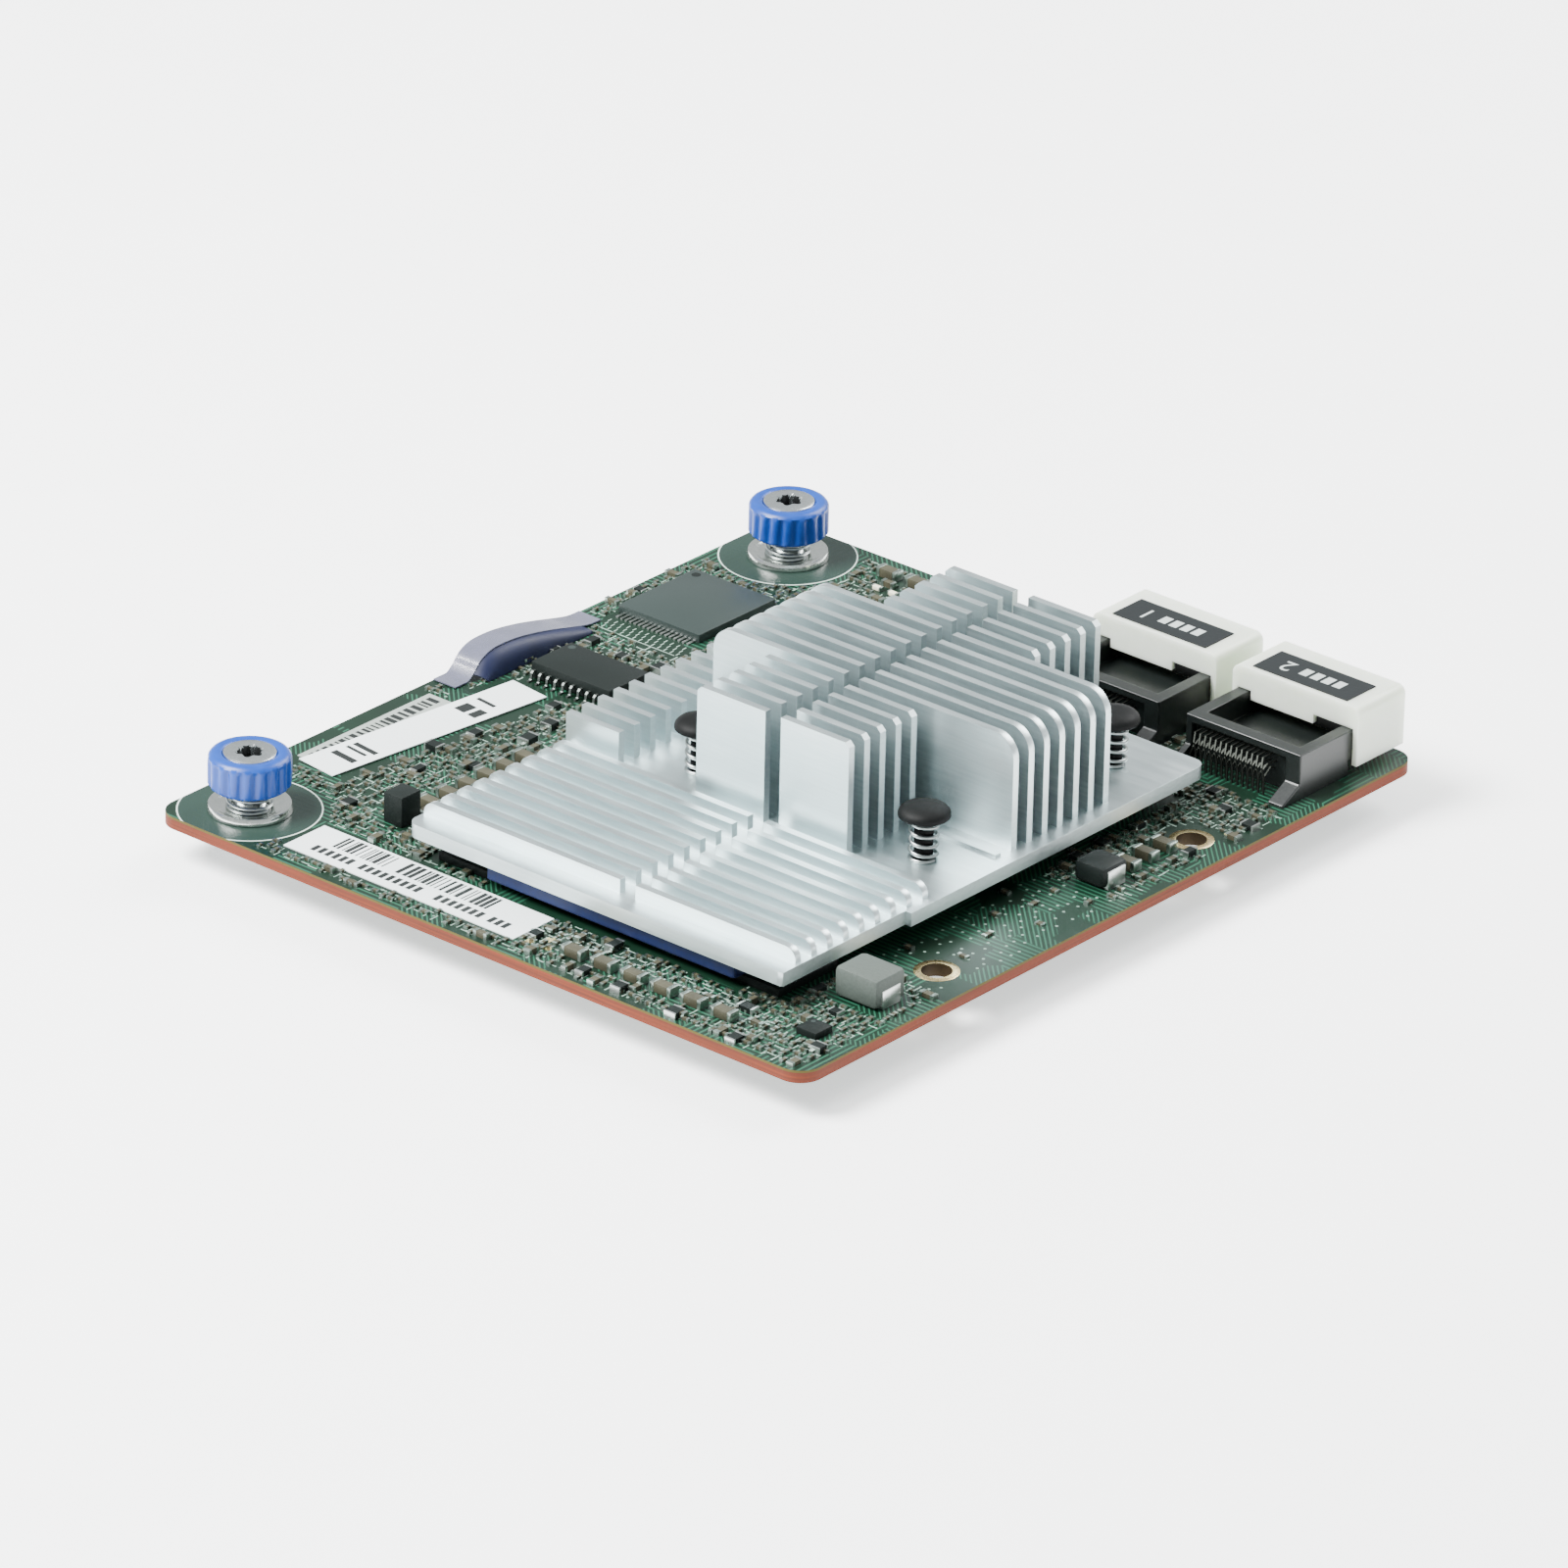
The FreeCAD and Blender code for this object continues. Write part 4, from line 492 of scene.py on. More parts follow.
def free_board(covered, room, rule, level, cell=0.0008):
    """Small square faces over the part of the board that is free and meets a rule."""
    border = 0.0012
    round_screw = 0.0098
    round_hole = 0.0042
    beside_label = 0.0052
    past_label = 0.001
    shape = bmesh.new()
    for column in range(int((board_high.x - board_low.x - 2 * border) / cell)):
        for row in range(int((board_high.y - board_low.y - 2 * border) / cell)):
            x = board_low.x + border + column * cell
            y = board_low.y + border + row * cell
            middle = Vector((x + cell / 2, y + cell / 2))
            if not rule(middle.x, middle.y):
                continue
            if any(low.x - room < middle.x < high.x + room and low.y - room < middle.y < high.y + room
                   for low, high in covered):
                continue
            reach = middle - serial_foot
            if (level == board_top and abs(reach.dot(serial_side)) < beside_label
                    and -past_label < reach.dot(serial_way) < serial_length + past_label):
                continue
            if any((middle - spot.xy).length < round_screw for spot in screw_spots.values()):
                continue
            if any((middle - spot.xy).length < round_hole for spot in hole_spots):
                continue
            shape.faces.new([shape.verts.new((x + dx, y + dy, level)) for dx, dy in
                             ((0, 0), (cell, 0), (cell, cell), (0, cell))])
    bmesh.ops.remove_doubles(shape, verts=shape.verts, dist=1e-6)
    mesh = bpy.data.meshes.new("free_board")
    shape.to_mesh(mesh)
    shape.free()
    return mesh


# The parts crowd up to 2 mm in under the heatsink's rim.
sink_low, sink_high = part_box("heatsink")
rim_depth = 0.002
quiet_from, quiet_to = -0.031, 0.002


def beyond_sink(x, y):
    """Clear of the heatsink, or under its rim."""
    return not (sink_low.x + rim_depth < x < sink_high.x - rim_depth
                and sink_low.y + rim_depth < y < sink_high.y - rim_depth)


def quiet_side(x, y):
    """The routed field beside the heatsink, which carries tracks and few parts."""
    return x > sink_high.x - rim_depth and quiet_from < y < quiet_to


def busy_side(x, y):
    """The rest of the board beyond the heatsink, which is crowded."""
    return beyond_sink(x, y) and not quiet_side(x, y)


def roomy_side(x, y):
    """The crowded board at a distance from the thumbscrews, where bigger parts have room."""
    from_screws = min((Vector((x, y)) - spot.xy).length for spot in screw_spots.values())
    return busy_side(x, y) and from_screws > 0.0115


crowd = free_board(covered, 0.0009, busy_side, board_top)
sparse = free_board(covered, 0.0009, lambda x, y: beyond_sink(x, y) and quiet_side(x, y), board_top)
roomy = free_board(covered, 0.0017, roomy_side, board_top)
under_side = free_board(covered_under, 0.0012, lambda x, y: True, board_low.z)
for face in under_side.polygons:
    face.flip()
small_parts = {
    "chip_parts_large": (crowd, dict(Gap=0.0034, Density=120000.0, Length=0.0014, Width=0.0008,
                                     Height=0.0008, End=0.00040, Seed=3)),
    "chip_parts_small": (crowd, dict(Gap=0.00108, Density=1400000.0, Length=0.0008, Width=0.00042,
                                     Height=0.00040, End=0.00028, Seed=8)),
    "chip_parts_sparse": (sparse, dict(Gap=0.0042, Density=60000.0, Length=0.0010, Width=0.0006,
                                       Height=0.0004, End=0.0003, Seed=5)),
}
for name, (ground, sizes) in small_parts.items():
    mesh = grown_mesh(name, field_tree, ground.copy(), Finish=ceramic, End_finish=solder, **sizes)
    finished_piece(name, mesh, "card")
# Small black transistors and drivers stand among them.
blacks = grown_mesh("small_black_chips", field_tree, roomy, Finish=mould_black, End_finish=tinned_metal,
                    Gap=0.0049, Density=70000.0, Length=0.0017, Width=0.0013, Height=0.0009, End=0.00026,
                    Seed=31)
finished_piece("small_black_chips", blacks, "card")
# The parts on the underside are grown upwards and then mirrored in the board's lower face.
under_parts = grown_mesh("chip_parts_under", field_tree, under_side, Finish=ceramic, End_finish=solder,
                         Gap=0.0034, Density=60000.0, Length=0.0012, Width=0.0007, Height=0.0005,
                         End=0.00035, Seed=12)
for corner in under_parts.vertices:
    corner.co.z = 2 * board_low.z - corner.co.z if corner.co.z > board_low.z else corner.co.z
under_parts.flip_normals()
finished_piece("chip_parts_under", under_parts, "card")


def chip_block(shape, low, high, bevel, index=0):
    """A block with softened edges, added to an open shape with one of its finishes."""
    fresh = bmesh.ops.create_cube(shape, size=1.0)["verts"]
    for corner in fresh:
        corner.co = Vector([low[k] if corner.co[k] < 0 else high[k] for k in range(3)])
    edges = list(dict.fromkeys(edge for corner in fresh for edge in corner.link_edges))
    made = bmesh.ops.bevel(shape, geom=edges, offset=bevel, segments=2, profile=0.5, affect="EDGES")
    faces = {face for corner in fresh if corner.is_valid for face in corner.link_faces} | set(made["faces"])
    for vert in {v for face in faces for v in face.verts}:
        for face in vert.link_faces:
            face.material_index = index


def two_ended(shape, low, high, end, bevel):
    """A ceramic block with tinned ends along its longer side, which stand proud of it."""
    proud = 0.00006
    axis = 0 if high.x - low.x > high.y - low.y else 1
    inner_low, inner_high = low.copy(), high.copy()
    for k in range(3):
        if k != axis:
            inner_low[k] += proud if k != 2 else 0
            inner_high[k] -= proud
    inner_low[axis] += end / 2
    inner_high[axis] -= end / 2
    chip_block(shape, inner_low, inner_high, bevel)
    for start, stop in ((low[axis], low[axis] + end), (high[axis] - end, high[axis])):
        end_low, end_high = low.copy(), high.copy()
        end_low[axis], end_high[axis] = start, stop
        chip_block(shape, end_low, end_high, bevel, 1)


for group in ("front", "left", "rear", "right", "underside"):
    shape = bmesh.new()
    for low, high in solids_of(f"{group}_capacitors"):
        two_ended(shape, low, high, 0.0006, 0.00012)
    mesh = mesh_of(shape, f"{group}_row", 40, (ceramic, solder))
    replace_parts(finished_piece(f"{group}_row", mesh, "card"), f"{group}_capacitors")

# Printed ticks and outline strokes, 0.13 mm wide, lie between the parts.
ink_strokes = grown_mesh("printed_strokes", field_tree, crowd.copy(), Finish=print_ink, End_finish=print_ink,
                         Gap=0.0009, Density=2000000.0, Length=0.0010, Width=0.00013, Height=0.00002,
                         End=0.00013, Seed=21)
finished_piece("printed_strokes", ink_strokes, "card")

# Tented vias, 0.4 mm across, dot the routed field and the crowd.
via_tree, entry = new_tree("field_of_vias", Gap="Float", Density="Float", Radius="Float", Seed="Int",
                           Finish="Material")
points = add(via_tree, "GeometryNodeDistributePointsOnFaces",
             {"Mesh": entry.outputs[0], "Distance Min": entry.outputs["Gap"],
              "Density Max": entry.outputs["Density"], "Seed": entry.outputs["Seed"]},
             distribute_method="POISSON")
dot = add(via_tree, "GeometryNodeMeshCone", {"Vertices": 8, "Radius Top": 0.0001, "Radius Bottom":
                                             entry.outputs["Radius"], "Depth": 0.00003})
laid = add(via_tree, "GeometryNodeInstanceOnPoints",
           {"Points": points.outputs[0], "Instance": dot.outputs[0]})
close_tree(via_tree, laid, entry.outputs["Finish"])
# Mask over a via: the track green, a little paler where the copper rim lifts it.
via_green = worked("mask_over_via", "#3a5849", "#8fa89a", 0.0008, 0.4, IOR=1.5)
for name, ground, gap, seed in (("vias_routed", sparse, 0.0013, 4), ("vias_crowd", crowd, 0.0019, 6)):
    vias = grown_mesh(name, via_tree, ground, Gap=gap, Density=900000.0, Radius=0.0002, Seed=seed,
                      Finish=via_green)
    finished_piece(name, vias, "card")

# Cream light-emitting diodes stand in a short row behind the heatsink. Their epoxy is filled to spread the
# light, and looks like pale wax.
diode_cream = worked("diffusing_epoxy", "#c9c6a8", "#f2efd9", 0.0008, 0.35, IOR=1.5)
shape = bmesh.new()
for low, high in solids_of("status_leds"):
    two_ended(shape, low, high, 0.0003, 0.0001)
mesh = mesh_of(shape, "led_row", 40, (diode_cream, solder))
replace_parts(finished_piece("led_row", mesh, "card"), "status_leds")

# ---- Controller chip and cache memory
# The controller is a bare silicon die on a green laminate carrier, and the memory chips are moulded black
# epoxy. Soft gap pads carry their heat into the underside of the heatsink.

# Moulding compound: dark grey-green, finely matt from a spark-eroded mould.
mould_grey = worked("moulded_epoxy_grey", "#16201f", "#27322f", 0.0002, 0.42, IOR=1.55,
                    Specular_IOR_Level=0.4)
# Package laminate: even mid green under a glossy mask.
carrier_green = worked("carrier_laminate", "#173f2c", "#2b5d45", 0.0008, 0.35, IOR=1.5)
# The back of a silicon die: ground and polished, a blue-grey mirror.
silicon = worked("polished_silicon", "#2c2f37", "#454955", 0.004, 0.12, IOR=1.6)
# Filled silicone rubber: deep blue, chalky and soft-looking.
gap_pad_blue = worked("silicone_gap_pad", "#02081f", "#0a2158", 0.0006, 0.6, IOR=1.42)
soften(dress("controller_substrate", carrier_green), 0.0001)
soften(dress("controller_die", silicon), 0.00006)
soften(dress("die_thermal_pad", gap_pad_blue), 0.00006)
soften(dress("memory_gap_pad", gap_pad_blue), 0.0003)


def printed_patch(shape, corners, level, thick=0.00001, index=0):
    """A print of a few microns on an upward face: a closed slab over the corners, added to an open shape."""
    foot = [shape.verts.new((x, y, level)) for x, y in corners]
    top = [shape.verts.new((x, y, level + thick)) for x, y in corners]
    faces = [shape.faces.new(foot[::-1]), shape.faces.new(top)]
    faces += [shape.faces.new((foot[k - 1], foot[k], top[k], top[k - 1])) for k in range(len(corners))]
    for face in faces:
        face.material_index = index


def moulded_chip(node, finish, bevel, dot=0.0):
    """A moulded chip in place of its CAD block, with a round index mark of one radius in a corner."""
    low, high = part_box(node)
    shape = bmesh.new()
    chip_block(shape, low, high, bevel)
    if dot:
        spot = Vector((low.x + 2.2 * dot, high.y - 2.2 * dot))
        angles = [k * math.pi / 12 for k in range(24)]
        ring = [spot + dot * Vector((math.cos(angle), math.sin(angle))) for angle in angles]
        printed_patch(shape, ring, high.z, 0.000005, 1)
    mark = mould_black if finish is mould_grey else mould_grey
    mesh = mesh_of(shape, f"{node}_moulded", 40, (finish, mark))
    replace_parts(finished_piece(f"{node}_moulded", mesh, "card"), node)


for number in range(1, 6):
    moulded_chip(f"memory_chip_{number}", mould_black, 0.0001, 0.0003)

# ---- Other chips and coils on the top
# A logic chip with ten leads a side, a flash chip, a regulator and a crystal, all soldered flat, with two
# power coils and one tall capacitor. The coils are pressed round their wire, with plated clips folded under.
moulded_chip("logic_chip", mould_black, 0.0002, 0.0005)
moulded_chip("flash_chip", mould_grey, 0.0001, 0.0006)
moulded_chip("regulator_chip", mould_black, 0.0001, 0.0003)
moulded_chip("bulk_capacitor", mould_black, 0.0002)
soften(dress("crystal", tinned_metal), 0.00015)

# The flash chip's terminals are flat tinned strips that come out level with the board on two sides.
terminal_pitch = 0.00072
shape = bmesh.new()
for way, face in ((-1, flash_low.y), (1, flash_high.y)):
    path = [(way * reach, board_top + 0.0001) for reach in (-0.0003, 0.0006, 0.0012)]
    bent_strip(shape, path, 0.00036, 0.00016, (flash_low.x + 0.0008, face, 0))
strips = grown_mesh("flash_terminals", row_tree, mesh_of(shape, "flash_strips"), Count=17,
                    Step=(terminal_pitch, 0, 0), Finish=tinned_metal)
finished_piece("flash_terminals", strips, "card")


def printed_bars(name, bars, level, finish, thick=0.00001):
    """Flat printed bars: each is its low corner's x and y, its width and its depth."""
    shape = bmesh.new()
    for x, y, width, depth in bars:
        printed_patch(shape, [(x, y), (x + width, y), (x + width, y + depth), (x, y + depth)], level, thick)
    return finished_piece(name, mesh_of(shape, name), "card", finish)


# The fan-out in front of the flash chip is a ladder of short printed strokes over one long line.
rungs = 13
rung_pitch = (flash_high.x - flash_low.x - 0.001) / (rungs - 1)
strokes = [(flash_low.x + 0.0005 + k * rung_pitch + 0.00025 * rank, flash_low.y - 0.0026 - 0.0009 * rank,
            0.00014, 0.0007) for rank in range(3) for k in range(rungs)]
strokes.append((flash_low.x, flash_low.y - 0.0047, flash_high.x - flash_low.x, 0.00012))
printed_bars("flash_fan_out", strokes, board_top, print_ink)

# Dull tin: the logic chip's leads were plated before bending, and have gone grey.
dull_tin = worked("dull_tin_leads", "#3f4442", "#7f8581", 0.0005, 0.5, Metallic=1.0)
logic_low, logic_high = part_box("logic_chip")
logic_middle = (logic_low.y + logic_high.y) / 2
front_leads = sorted((box for box in solids_of("logic_chip_leads") if box[1].y < logic_middle),
                     key=lambda box: box[0].x)
lead_middle = (front_leads[0][0].x + front_leads[0][1].x) / 2
lead_step = (front_leads[-1][0].x - front_leads[0][0].x) / (len(front_leads) - 1)
lead_mid_z = (logic_low.z + logic_high.z) / 2
shape = bmesh.new()
for way, face in ((-1, logic_low.y), (1, logic_high.y)):
    # A gull-wing lead leaves the body level, drops to the board and ends in a flat foot.
    path = [(-0.0002, lead_mid_z), (0.0004, lead_mid_z), (0.00062, lead_mid_z - 0.0002),
            (0.00072, board_top + 0.00028), (0.0009, board_top + 0.00012), (0.00135, board_top + 0.00011)]
    bent_strip(shape, [(way * y, z) for y, z in path], 0.00034, 0.0002, (lead_middle, face, 0))
leads = grown_mesh("logic_leads", row_tree, mesh_of(shape, "gull_leads"), Count=len(front_leads),
                   Step=(lead_step, 0, 0), Finish=dull_tin)
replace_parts(finished_piece("logic_leads", leads, "card"), "logic_chip_leads")

# Pressed iron powder: mid grey, granular at 0.3 mm, dull.
iron_powder = worked("pressed_iron_powder", "#2a312d", "#565f59", 0.0003, 0.6, relief=0.00003,
                     Specular_IOR_Level=0.4)
clip_reach = 0.0009
clip_half_width = 0.0016
clip_height = 0.0024
clip_gauge = 0.00012
for node, slot, finish, bevel in (("power_choke", "choke_metal", iron_powder, 0.0006),
                                  ("filter_choke", "chip_grey", mould_black, 0.0008)):
    low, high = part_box(node)
    shape = bmesh.new()
    chip_block(shape, low + Vector((clip_gauge, clip_gauge, 0.0002)),
               high - Vector((clip_gauge, clip_gauge, 0)), bevel)
    middle = (low.y + high.y) / 2
    for start, stop in ((low.x, low.x + clip_reach), (high.x - clip_reach, high.x)):
        chip_block(shape, Vector((start, middle - clip_half_width, low.z)),
                   Vector((stop, middle + clip_half_width, low.z + clip_height)), clip_gauge, 1)
    mesh = mesh_of(shape, f"{node}_coil", 40, (finish, tinned_metal))
    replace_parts(finished_piece(f"{node}_coil", mesh, "card"), node)

# ---- Heatsink
# One piece of extruded aluminium alloy, cross-cut into fins and left bare. The saw and the extrusion leave
# a fine satin grain along the faces, and every cut edge is slightly broken.

# Bare extruded aluminium: pale, cool, brushed-looking along the extrusion, with soft broad highlights.
satin_aluminium = worked("satin_aluminium", "#b6c5c7", "#e8f1f2", 0.0009, 0.4, relief=0.000006,
                         stretch=(0.12, 1, 2.5), Metallic=1.0)
soften(dress("heatsink", satin_aluminium), 0.00014)

# ---- Push pins
# Moulded black nylon pins snap through the board and hold the heatsink down on four coil springs. Each has
# a domed head and a split barbed tip.

# Unfilled nylon: dead black, smooth, nearly matt.
pin_nylon = worked("black_nylon", "#020303", "#060808", 0.0008, 0.6, IOR=1.53, Specular_IOR_Level=0.15)
# Music wire: dark grey drawn steel.
spring_wire = worked("drawn_spring_wire", "#7c8382", "#bcc2c0", 0.0004, 0.3, Metallic=1.0)

# A spring is a round wire wound to a height, with its end turns laid flat.
spring_tree, entry = new_tree("wound_spring", Foot="Vector", Radius="Float", Wire="Float", Height="Float",
                              Turns="Float", Finish="Material")
winding = add(spring_tree, "GeometryNodeCurveSpiral",
              {"Resolution": 40, "Rotations": entry.outputs["Turns"], "Start Radius": entry.outputs["Radius"],
               "End Radius": entry.outputs["Radius"], "Height": 0.0})
share = add(spring_tree, "GeometryNodeSplineParameter")
flat_turn = add(spring_tree, "ShaderNodeMath", {0: 0.55, 1: entry.outputs["Turns"]}, operation="DIVIDE")
flat_stop = add(spring_tree, "ShaderNodeMath", {0: 1.0, 1: flat_turn.outputs[0]}, operation="SUBTRACT")
climb = add(spring_tree, "ShaderNodeMapRange",
            {"Value": share.outputs["Factor"], "From Min": flat_turn.outputs[0],
             "From Max": flat_stop.outputs[0], "To Max": entry.outputs["Height"]},
            interpolation_type="LINEAR")
lifted = add(spring_tree, "ShaderNodeCombineXYZ", {2: climb.outputs[0]})
wound = add(spring_tree, "GeometryNodeSetPosition", {0: winding.outputs[0], "Offset": lifted.outputs[0]})
gauge = add(spring_tree, "ShaderNodeMath", {0: entry.outputs["Wire"], 1: 0.5}, operation="MULTIPLY")
section = add(spring_tree, "GeometryNodeCurvePrimitiveCircle", {"Resolution": 10, "Radius": gauge.outputs[0]})
wire = add(spring_tree, "GeometryNodeCurveToMesh",
           {"Curve": wound.outputs[0], "Profile Curve": section.outputs[0], "Fill Caps": True})
placed = add(spring_tree, "GeometryNodeTransform", {"Geometry": wire.outputs[0],
                                                    "Translation": entry.outputs["Foot"]})
smooth = add(spring_tree, "GeometryNodeSetShadeSmooth", {0: placed.outputs[0]})
close_tree(spring_tree, smooth, entry.outputs["Finish"])


def wound_spring(node, wire, turns):
    """A spring of round wire that fills its CAD part's box."""
    low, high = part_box(node)
    middle = (low + high) / 2
    radius = (high.x - low.x) / 2 - wire / 2
    return grown_mesh(f"{node}_wire", spring_tree, Foot=(middle.x, middle.y, low.z + wire / 2), Radius=radius,
                      Wire=wire, Height=high.z - low.z - wire, Turns=float(turns), Finish=spring_wire)


def cut_away(mesh, low, high):
    """A mesh with a box-shaped slot cut out of it."""
    whole = bpy.data.objects.new("whole", mesh)
    shape = bmesh.new()
    chip_block(shape, low, high, 0.00001)
    saw = bpy.data.objects.new("saw", mesh_of(shape, "saw"))
    for thing in (whole, saw):
        bpy.context.scene.collection.objects.link(thing)
    cut = whole.modifiers.new("slot", "BOOLEAN")
    cut.object = saw
    cut.solver = "EXACT"
    bpy.context.view_layer.update()
    result = bpy.data.meshes.new_from_object(whole.evaluated_get(bpy.context.evaluated_depsgraph_get()))
    bpy.data.objects.remove(whole)
    bpy.data.objects.remove(saw)
    return result


for end in ("front", "rear"):
    for side in ("left", "right"):
        name = f"push_pin_{end}_{side}"
        spring_name = f"push_pin_spring_{end}_{side}"
        low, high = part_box(name)
        middle = (low + high) / 2
        head = (high.x - low.x) / 2
        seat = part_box(spring_name)[1].z
        rows = [(0, low.z), (0.0008, low.z), (0.0019, low.z + 0.0022), (0.00185, low.z + 0.0025),
                (0.00115, low.z + 0.00252), (0.00115, seat - 0.0001), (0.00135, seat), (head - 0.00015, seat),
                (head, seat + 0.00015), (head, seat + 0.00045), (head - 0.0001, seat + 0.00075),
                (head - 0.00045, seat + 0.0011), (head - 0.0011, seat + 0.00136), (0.0011, high.z),
                (0, high.z)]
        mesh = turned_mesh(f"{name}_nylon", rows, middle, 48, closed=False)
        # A slot 0.6 mm wide splits the tip, so that its barbs can close.
        mesh = cut_away(mesh, Vector((middle.x - 0.0003, middle.y - 0.003, low.z - 0.001)),
                        Vector((middle.x + 0.0003, middle.y + 0.003, low.z + 0.005)))
        mesh.set_sharp_from_angle(angle=math.radians(40))
        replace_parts(finished_piece(f"{name}_nylon", mesh, "card", pin_nylon), name)
        spring = finished_piece(f"{spring_name}_wire", wound_spring(spring_name, 0.00048, 5.2), "card")
        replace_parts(spring, spring_name)

# ---- Captive thumbscrews
# Each is a zinc-plated screw moulded into a ribbed blue nylon knob. It turns in a bright flanged bush that
# is pressed into the board, rides up on a short spring, and a clip under the board keeps it captive.

# Blue nylon: bright, even colour from dye in the plastic, smooth from a polished mould.
knob_nylon = worked("blue_nylon", "#022878", "#0848a2", 0.0015, 0.36, IOR=1.53, Specular_IOR_Level=0.4)
# Bright tin plate: near mirror, a touch warm.
bright_tin = worked("bright_tin_plate", "#b9beba", "#f1f3ee", 0.0006, 0.16, Metallic=1.0)
# Clear-passivated zinc: cool silver with a soft gloss.
zinc_plate = worked("zinc_plated_steel", "#b4babb", "#e6ebec", 0.0004, 0.25, Metallic=1.0)
# The driver recess is painted near black: painted shade in the recess.
recess_painted_shade = worked("screw_recess_painted_shade", "#0d0f10", "#26292a", 0.0003, 0.5, Metallic=0.6)
flutes = 18


def fluted(radius, depth):
    """A radius that dips into a flute between each pair of ribs."""
    return lambda angle: radius - depth * (0.5 + 0.5 * math.cos(flutes * angle)) ** 1.6


def star(radius):
    """The six-lobed outline of the driver recess."""
    return lambda angle: radius * (1 + 0.15 * math.cos(6 * angle))


def threaded(outer, depth, height, pitch):
    """A radius that follows a screw thread round at one height."""
    def reach(angle):
        phase = (height / pitch - angle / math.tau) % 1.0
        return outer - depth * abs(2 * phase - 1)
    return reach


for end, spot in screw_spots.items():
    knob_low, knob_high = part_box(f"{end}_knob")
    screw_low, screw_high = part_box(f"{end}_screw")
    bush_low, bush_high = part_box(f"{end}_ferrule")
    rim = (bush_high.x - bush_low.x) / 2
    spring_seat = board_top + 0.0004
    bush_rows = [(0.0020, bush_low.z), (0.00275, bush_low.z), (0.00275, board_top), (rim - 0.0001, board_top),
                 (rim, board_top + 0.0001), (rim, board_top + 0.00045), (rim - 0.0002, bush_high.z),
                 (rim - 0.0006, bush_high.z), (rim - 0.0011, board_top + 0.00062),
                 (0.0036, board_top + 0.00045), (0.0033, spring_seat), (0.0020, spring_seat)]
    bush = finished_piece(f"{end}_bush", turned_mesh("bush", bush_rows, spot, 96), "card",
                          bright_tin)
    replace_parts(bush, f"{end}_ferrule")
    lift_spring = finished_piece(f"{end}_lift_spring", wound_spring(f"{end}_screw_spring", 0.00042, 3.4),
                                 "card")
    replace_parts(lift_spring, f"{end}_screw_spring")
    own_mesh(lift_spring)
    soften(dress(f"{end}_spring_washer", bright_tin), 0.00005)

    radius = (knob_high.x - knob_low.x) / 2
    base, top = knob_low.z, knob_high.z
    knob_rows = [(0.00205, base), (radius - 0.0004, base), (fluted(radius - 0.0001, 0.0002), base + 0.00025),
                 (fluted(radius, 0.00036), base + 0.0005), (fluted(radius, 0.00036), top - 0.0011),
                 (fluted(radius - 0.00003, 0.0002), top - 0.0008), (radius - 0.0001, top - 0.0005),
                 (radius - 0.00035, top - 0.00018), (radius - 0.0008, top), (0.0036, top),
                 (0.00335, top - 0.00015), (0.00335, top - 0.002), (0.00205, top - 0.002)]
    knob = finished_piece(f"{end}_ribbed_knob", turned_mesh("knob", knob_rows, spot, 216),
                          f"{end}_thumbscrew", knob_nylon)
    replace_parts(knob, f"{end}_knob")

    # The screw, from its tip up: thread, groove for the clip, shank, head and driver recess.
    head = screw_high.z
    clip_low, clip_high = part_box(f"{end}_retaining_clip")
    groove_top = clip_high.z + 0.00005
    screw_rows = [(0, screw_low.z), (0.00135, screw_low.z)]
    thread_from, thread_to = screw_low.z + 0.0004, clip_low.z - 0.00005
    for k in range(25):
        level = thread_from + (thread_to - thread_from) * k / 24
        screw_rows.append((threaded(0.00175, 0.00026, level, 0.0006), level))
    screw_rows += [(0.0015, clip_low.z), (0.0015, groove_top), (0.00195, groove_top),
                   (0.00195, head - 0.0021), (0.0033, head - 0.0021), (0.0033, head - 0.0003),
                   (0.0032, head - 0.0001), (0.0030, head),
                   (star(0.0016), head), (star(0.00145), head - 0.00025), (star(0.00145), head - 0.0013),
                   (0.0004, head - 0.0014), (0, head - 0.0014)]
    screw = finished_piece(f"{end}_threaded_screw", turned_mesh("screw", screw_rows, spot, 72, closed=False),
                           f"{end}_thumbscrew", zinc_plate)
    screw.data.materials.append(recess_painted_shade)
    # Faces inside the driver recess take the painted shade.
    for face in screw.data.polygons:
        reach = (face.center.xy - spot.xy).length
        if reach < 0.00155 and head - 0.0016 < face.center.z < head - 0.0001:
            face.material_index = 1
    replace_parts(screw, f"{end}_screw")

    # The clip is an open ring of spring steel sprung into the screw's groove.
    shape = bmesh.new()
    inner = 0.00153
    rings = []
    for k in range(41):
        angle = math.radians(35 + 290 * k / 40)
        outer = 0.0027 - 0.0003 * math.cos(3 * (angle - math.pi)) ** 2
        corners = ((inner, clip_low.z), (outer, clip_low.z), (outer, clip_high.z), (inner, clip_high.z))
        rings.append([shape.verts.new((spot.x + r * math.cos(angle), spot.y + r * math.sin(angle), z))
                      for r, z in corners])
    tube(shape, rings)
    clip = finished_piece(f"{end}_open_clip", mesh_of(shape, "clip", 40), f"{end}_thumbscrew",
                          spring_wire)
    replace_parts(clip, f"{end}_retaining_clip")

# ---- Drive receptacles
# Two right-angle receptacles of black glass-filled nylon are soldered along the rear edge. Their slanting
# rows of thin gold-flashed tails run down to the board behind the housing.

# Moulded nylon with glass fibre: black, with a low even gloss from a smooth mould.
receptacle_nylon = worked("receptacle_nylon", "#0a0e0d", "#171c1b", 0.0003, 0.36, IOR=1.53,
                          Specular_IOR_Level=0.45)
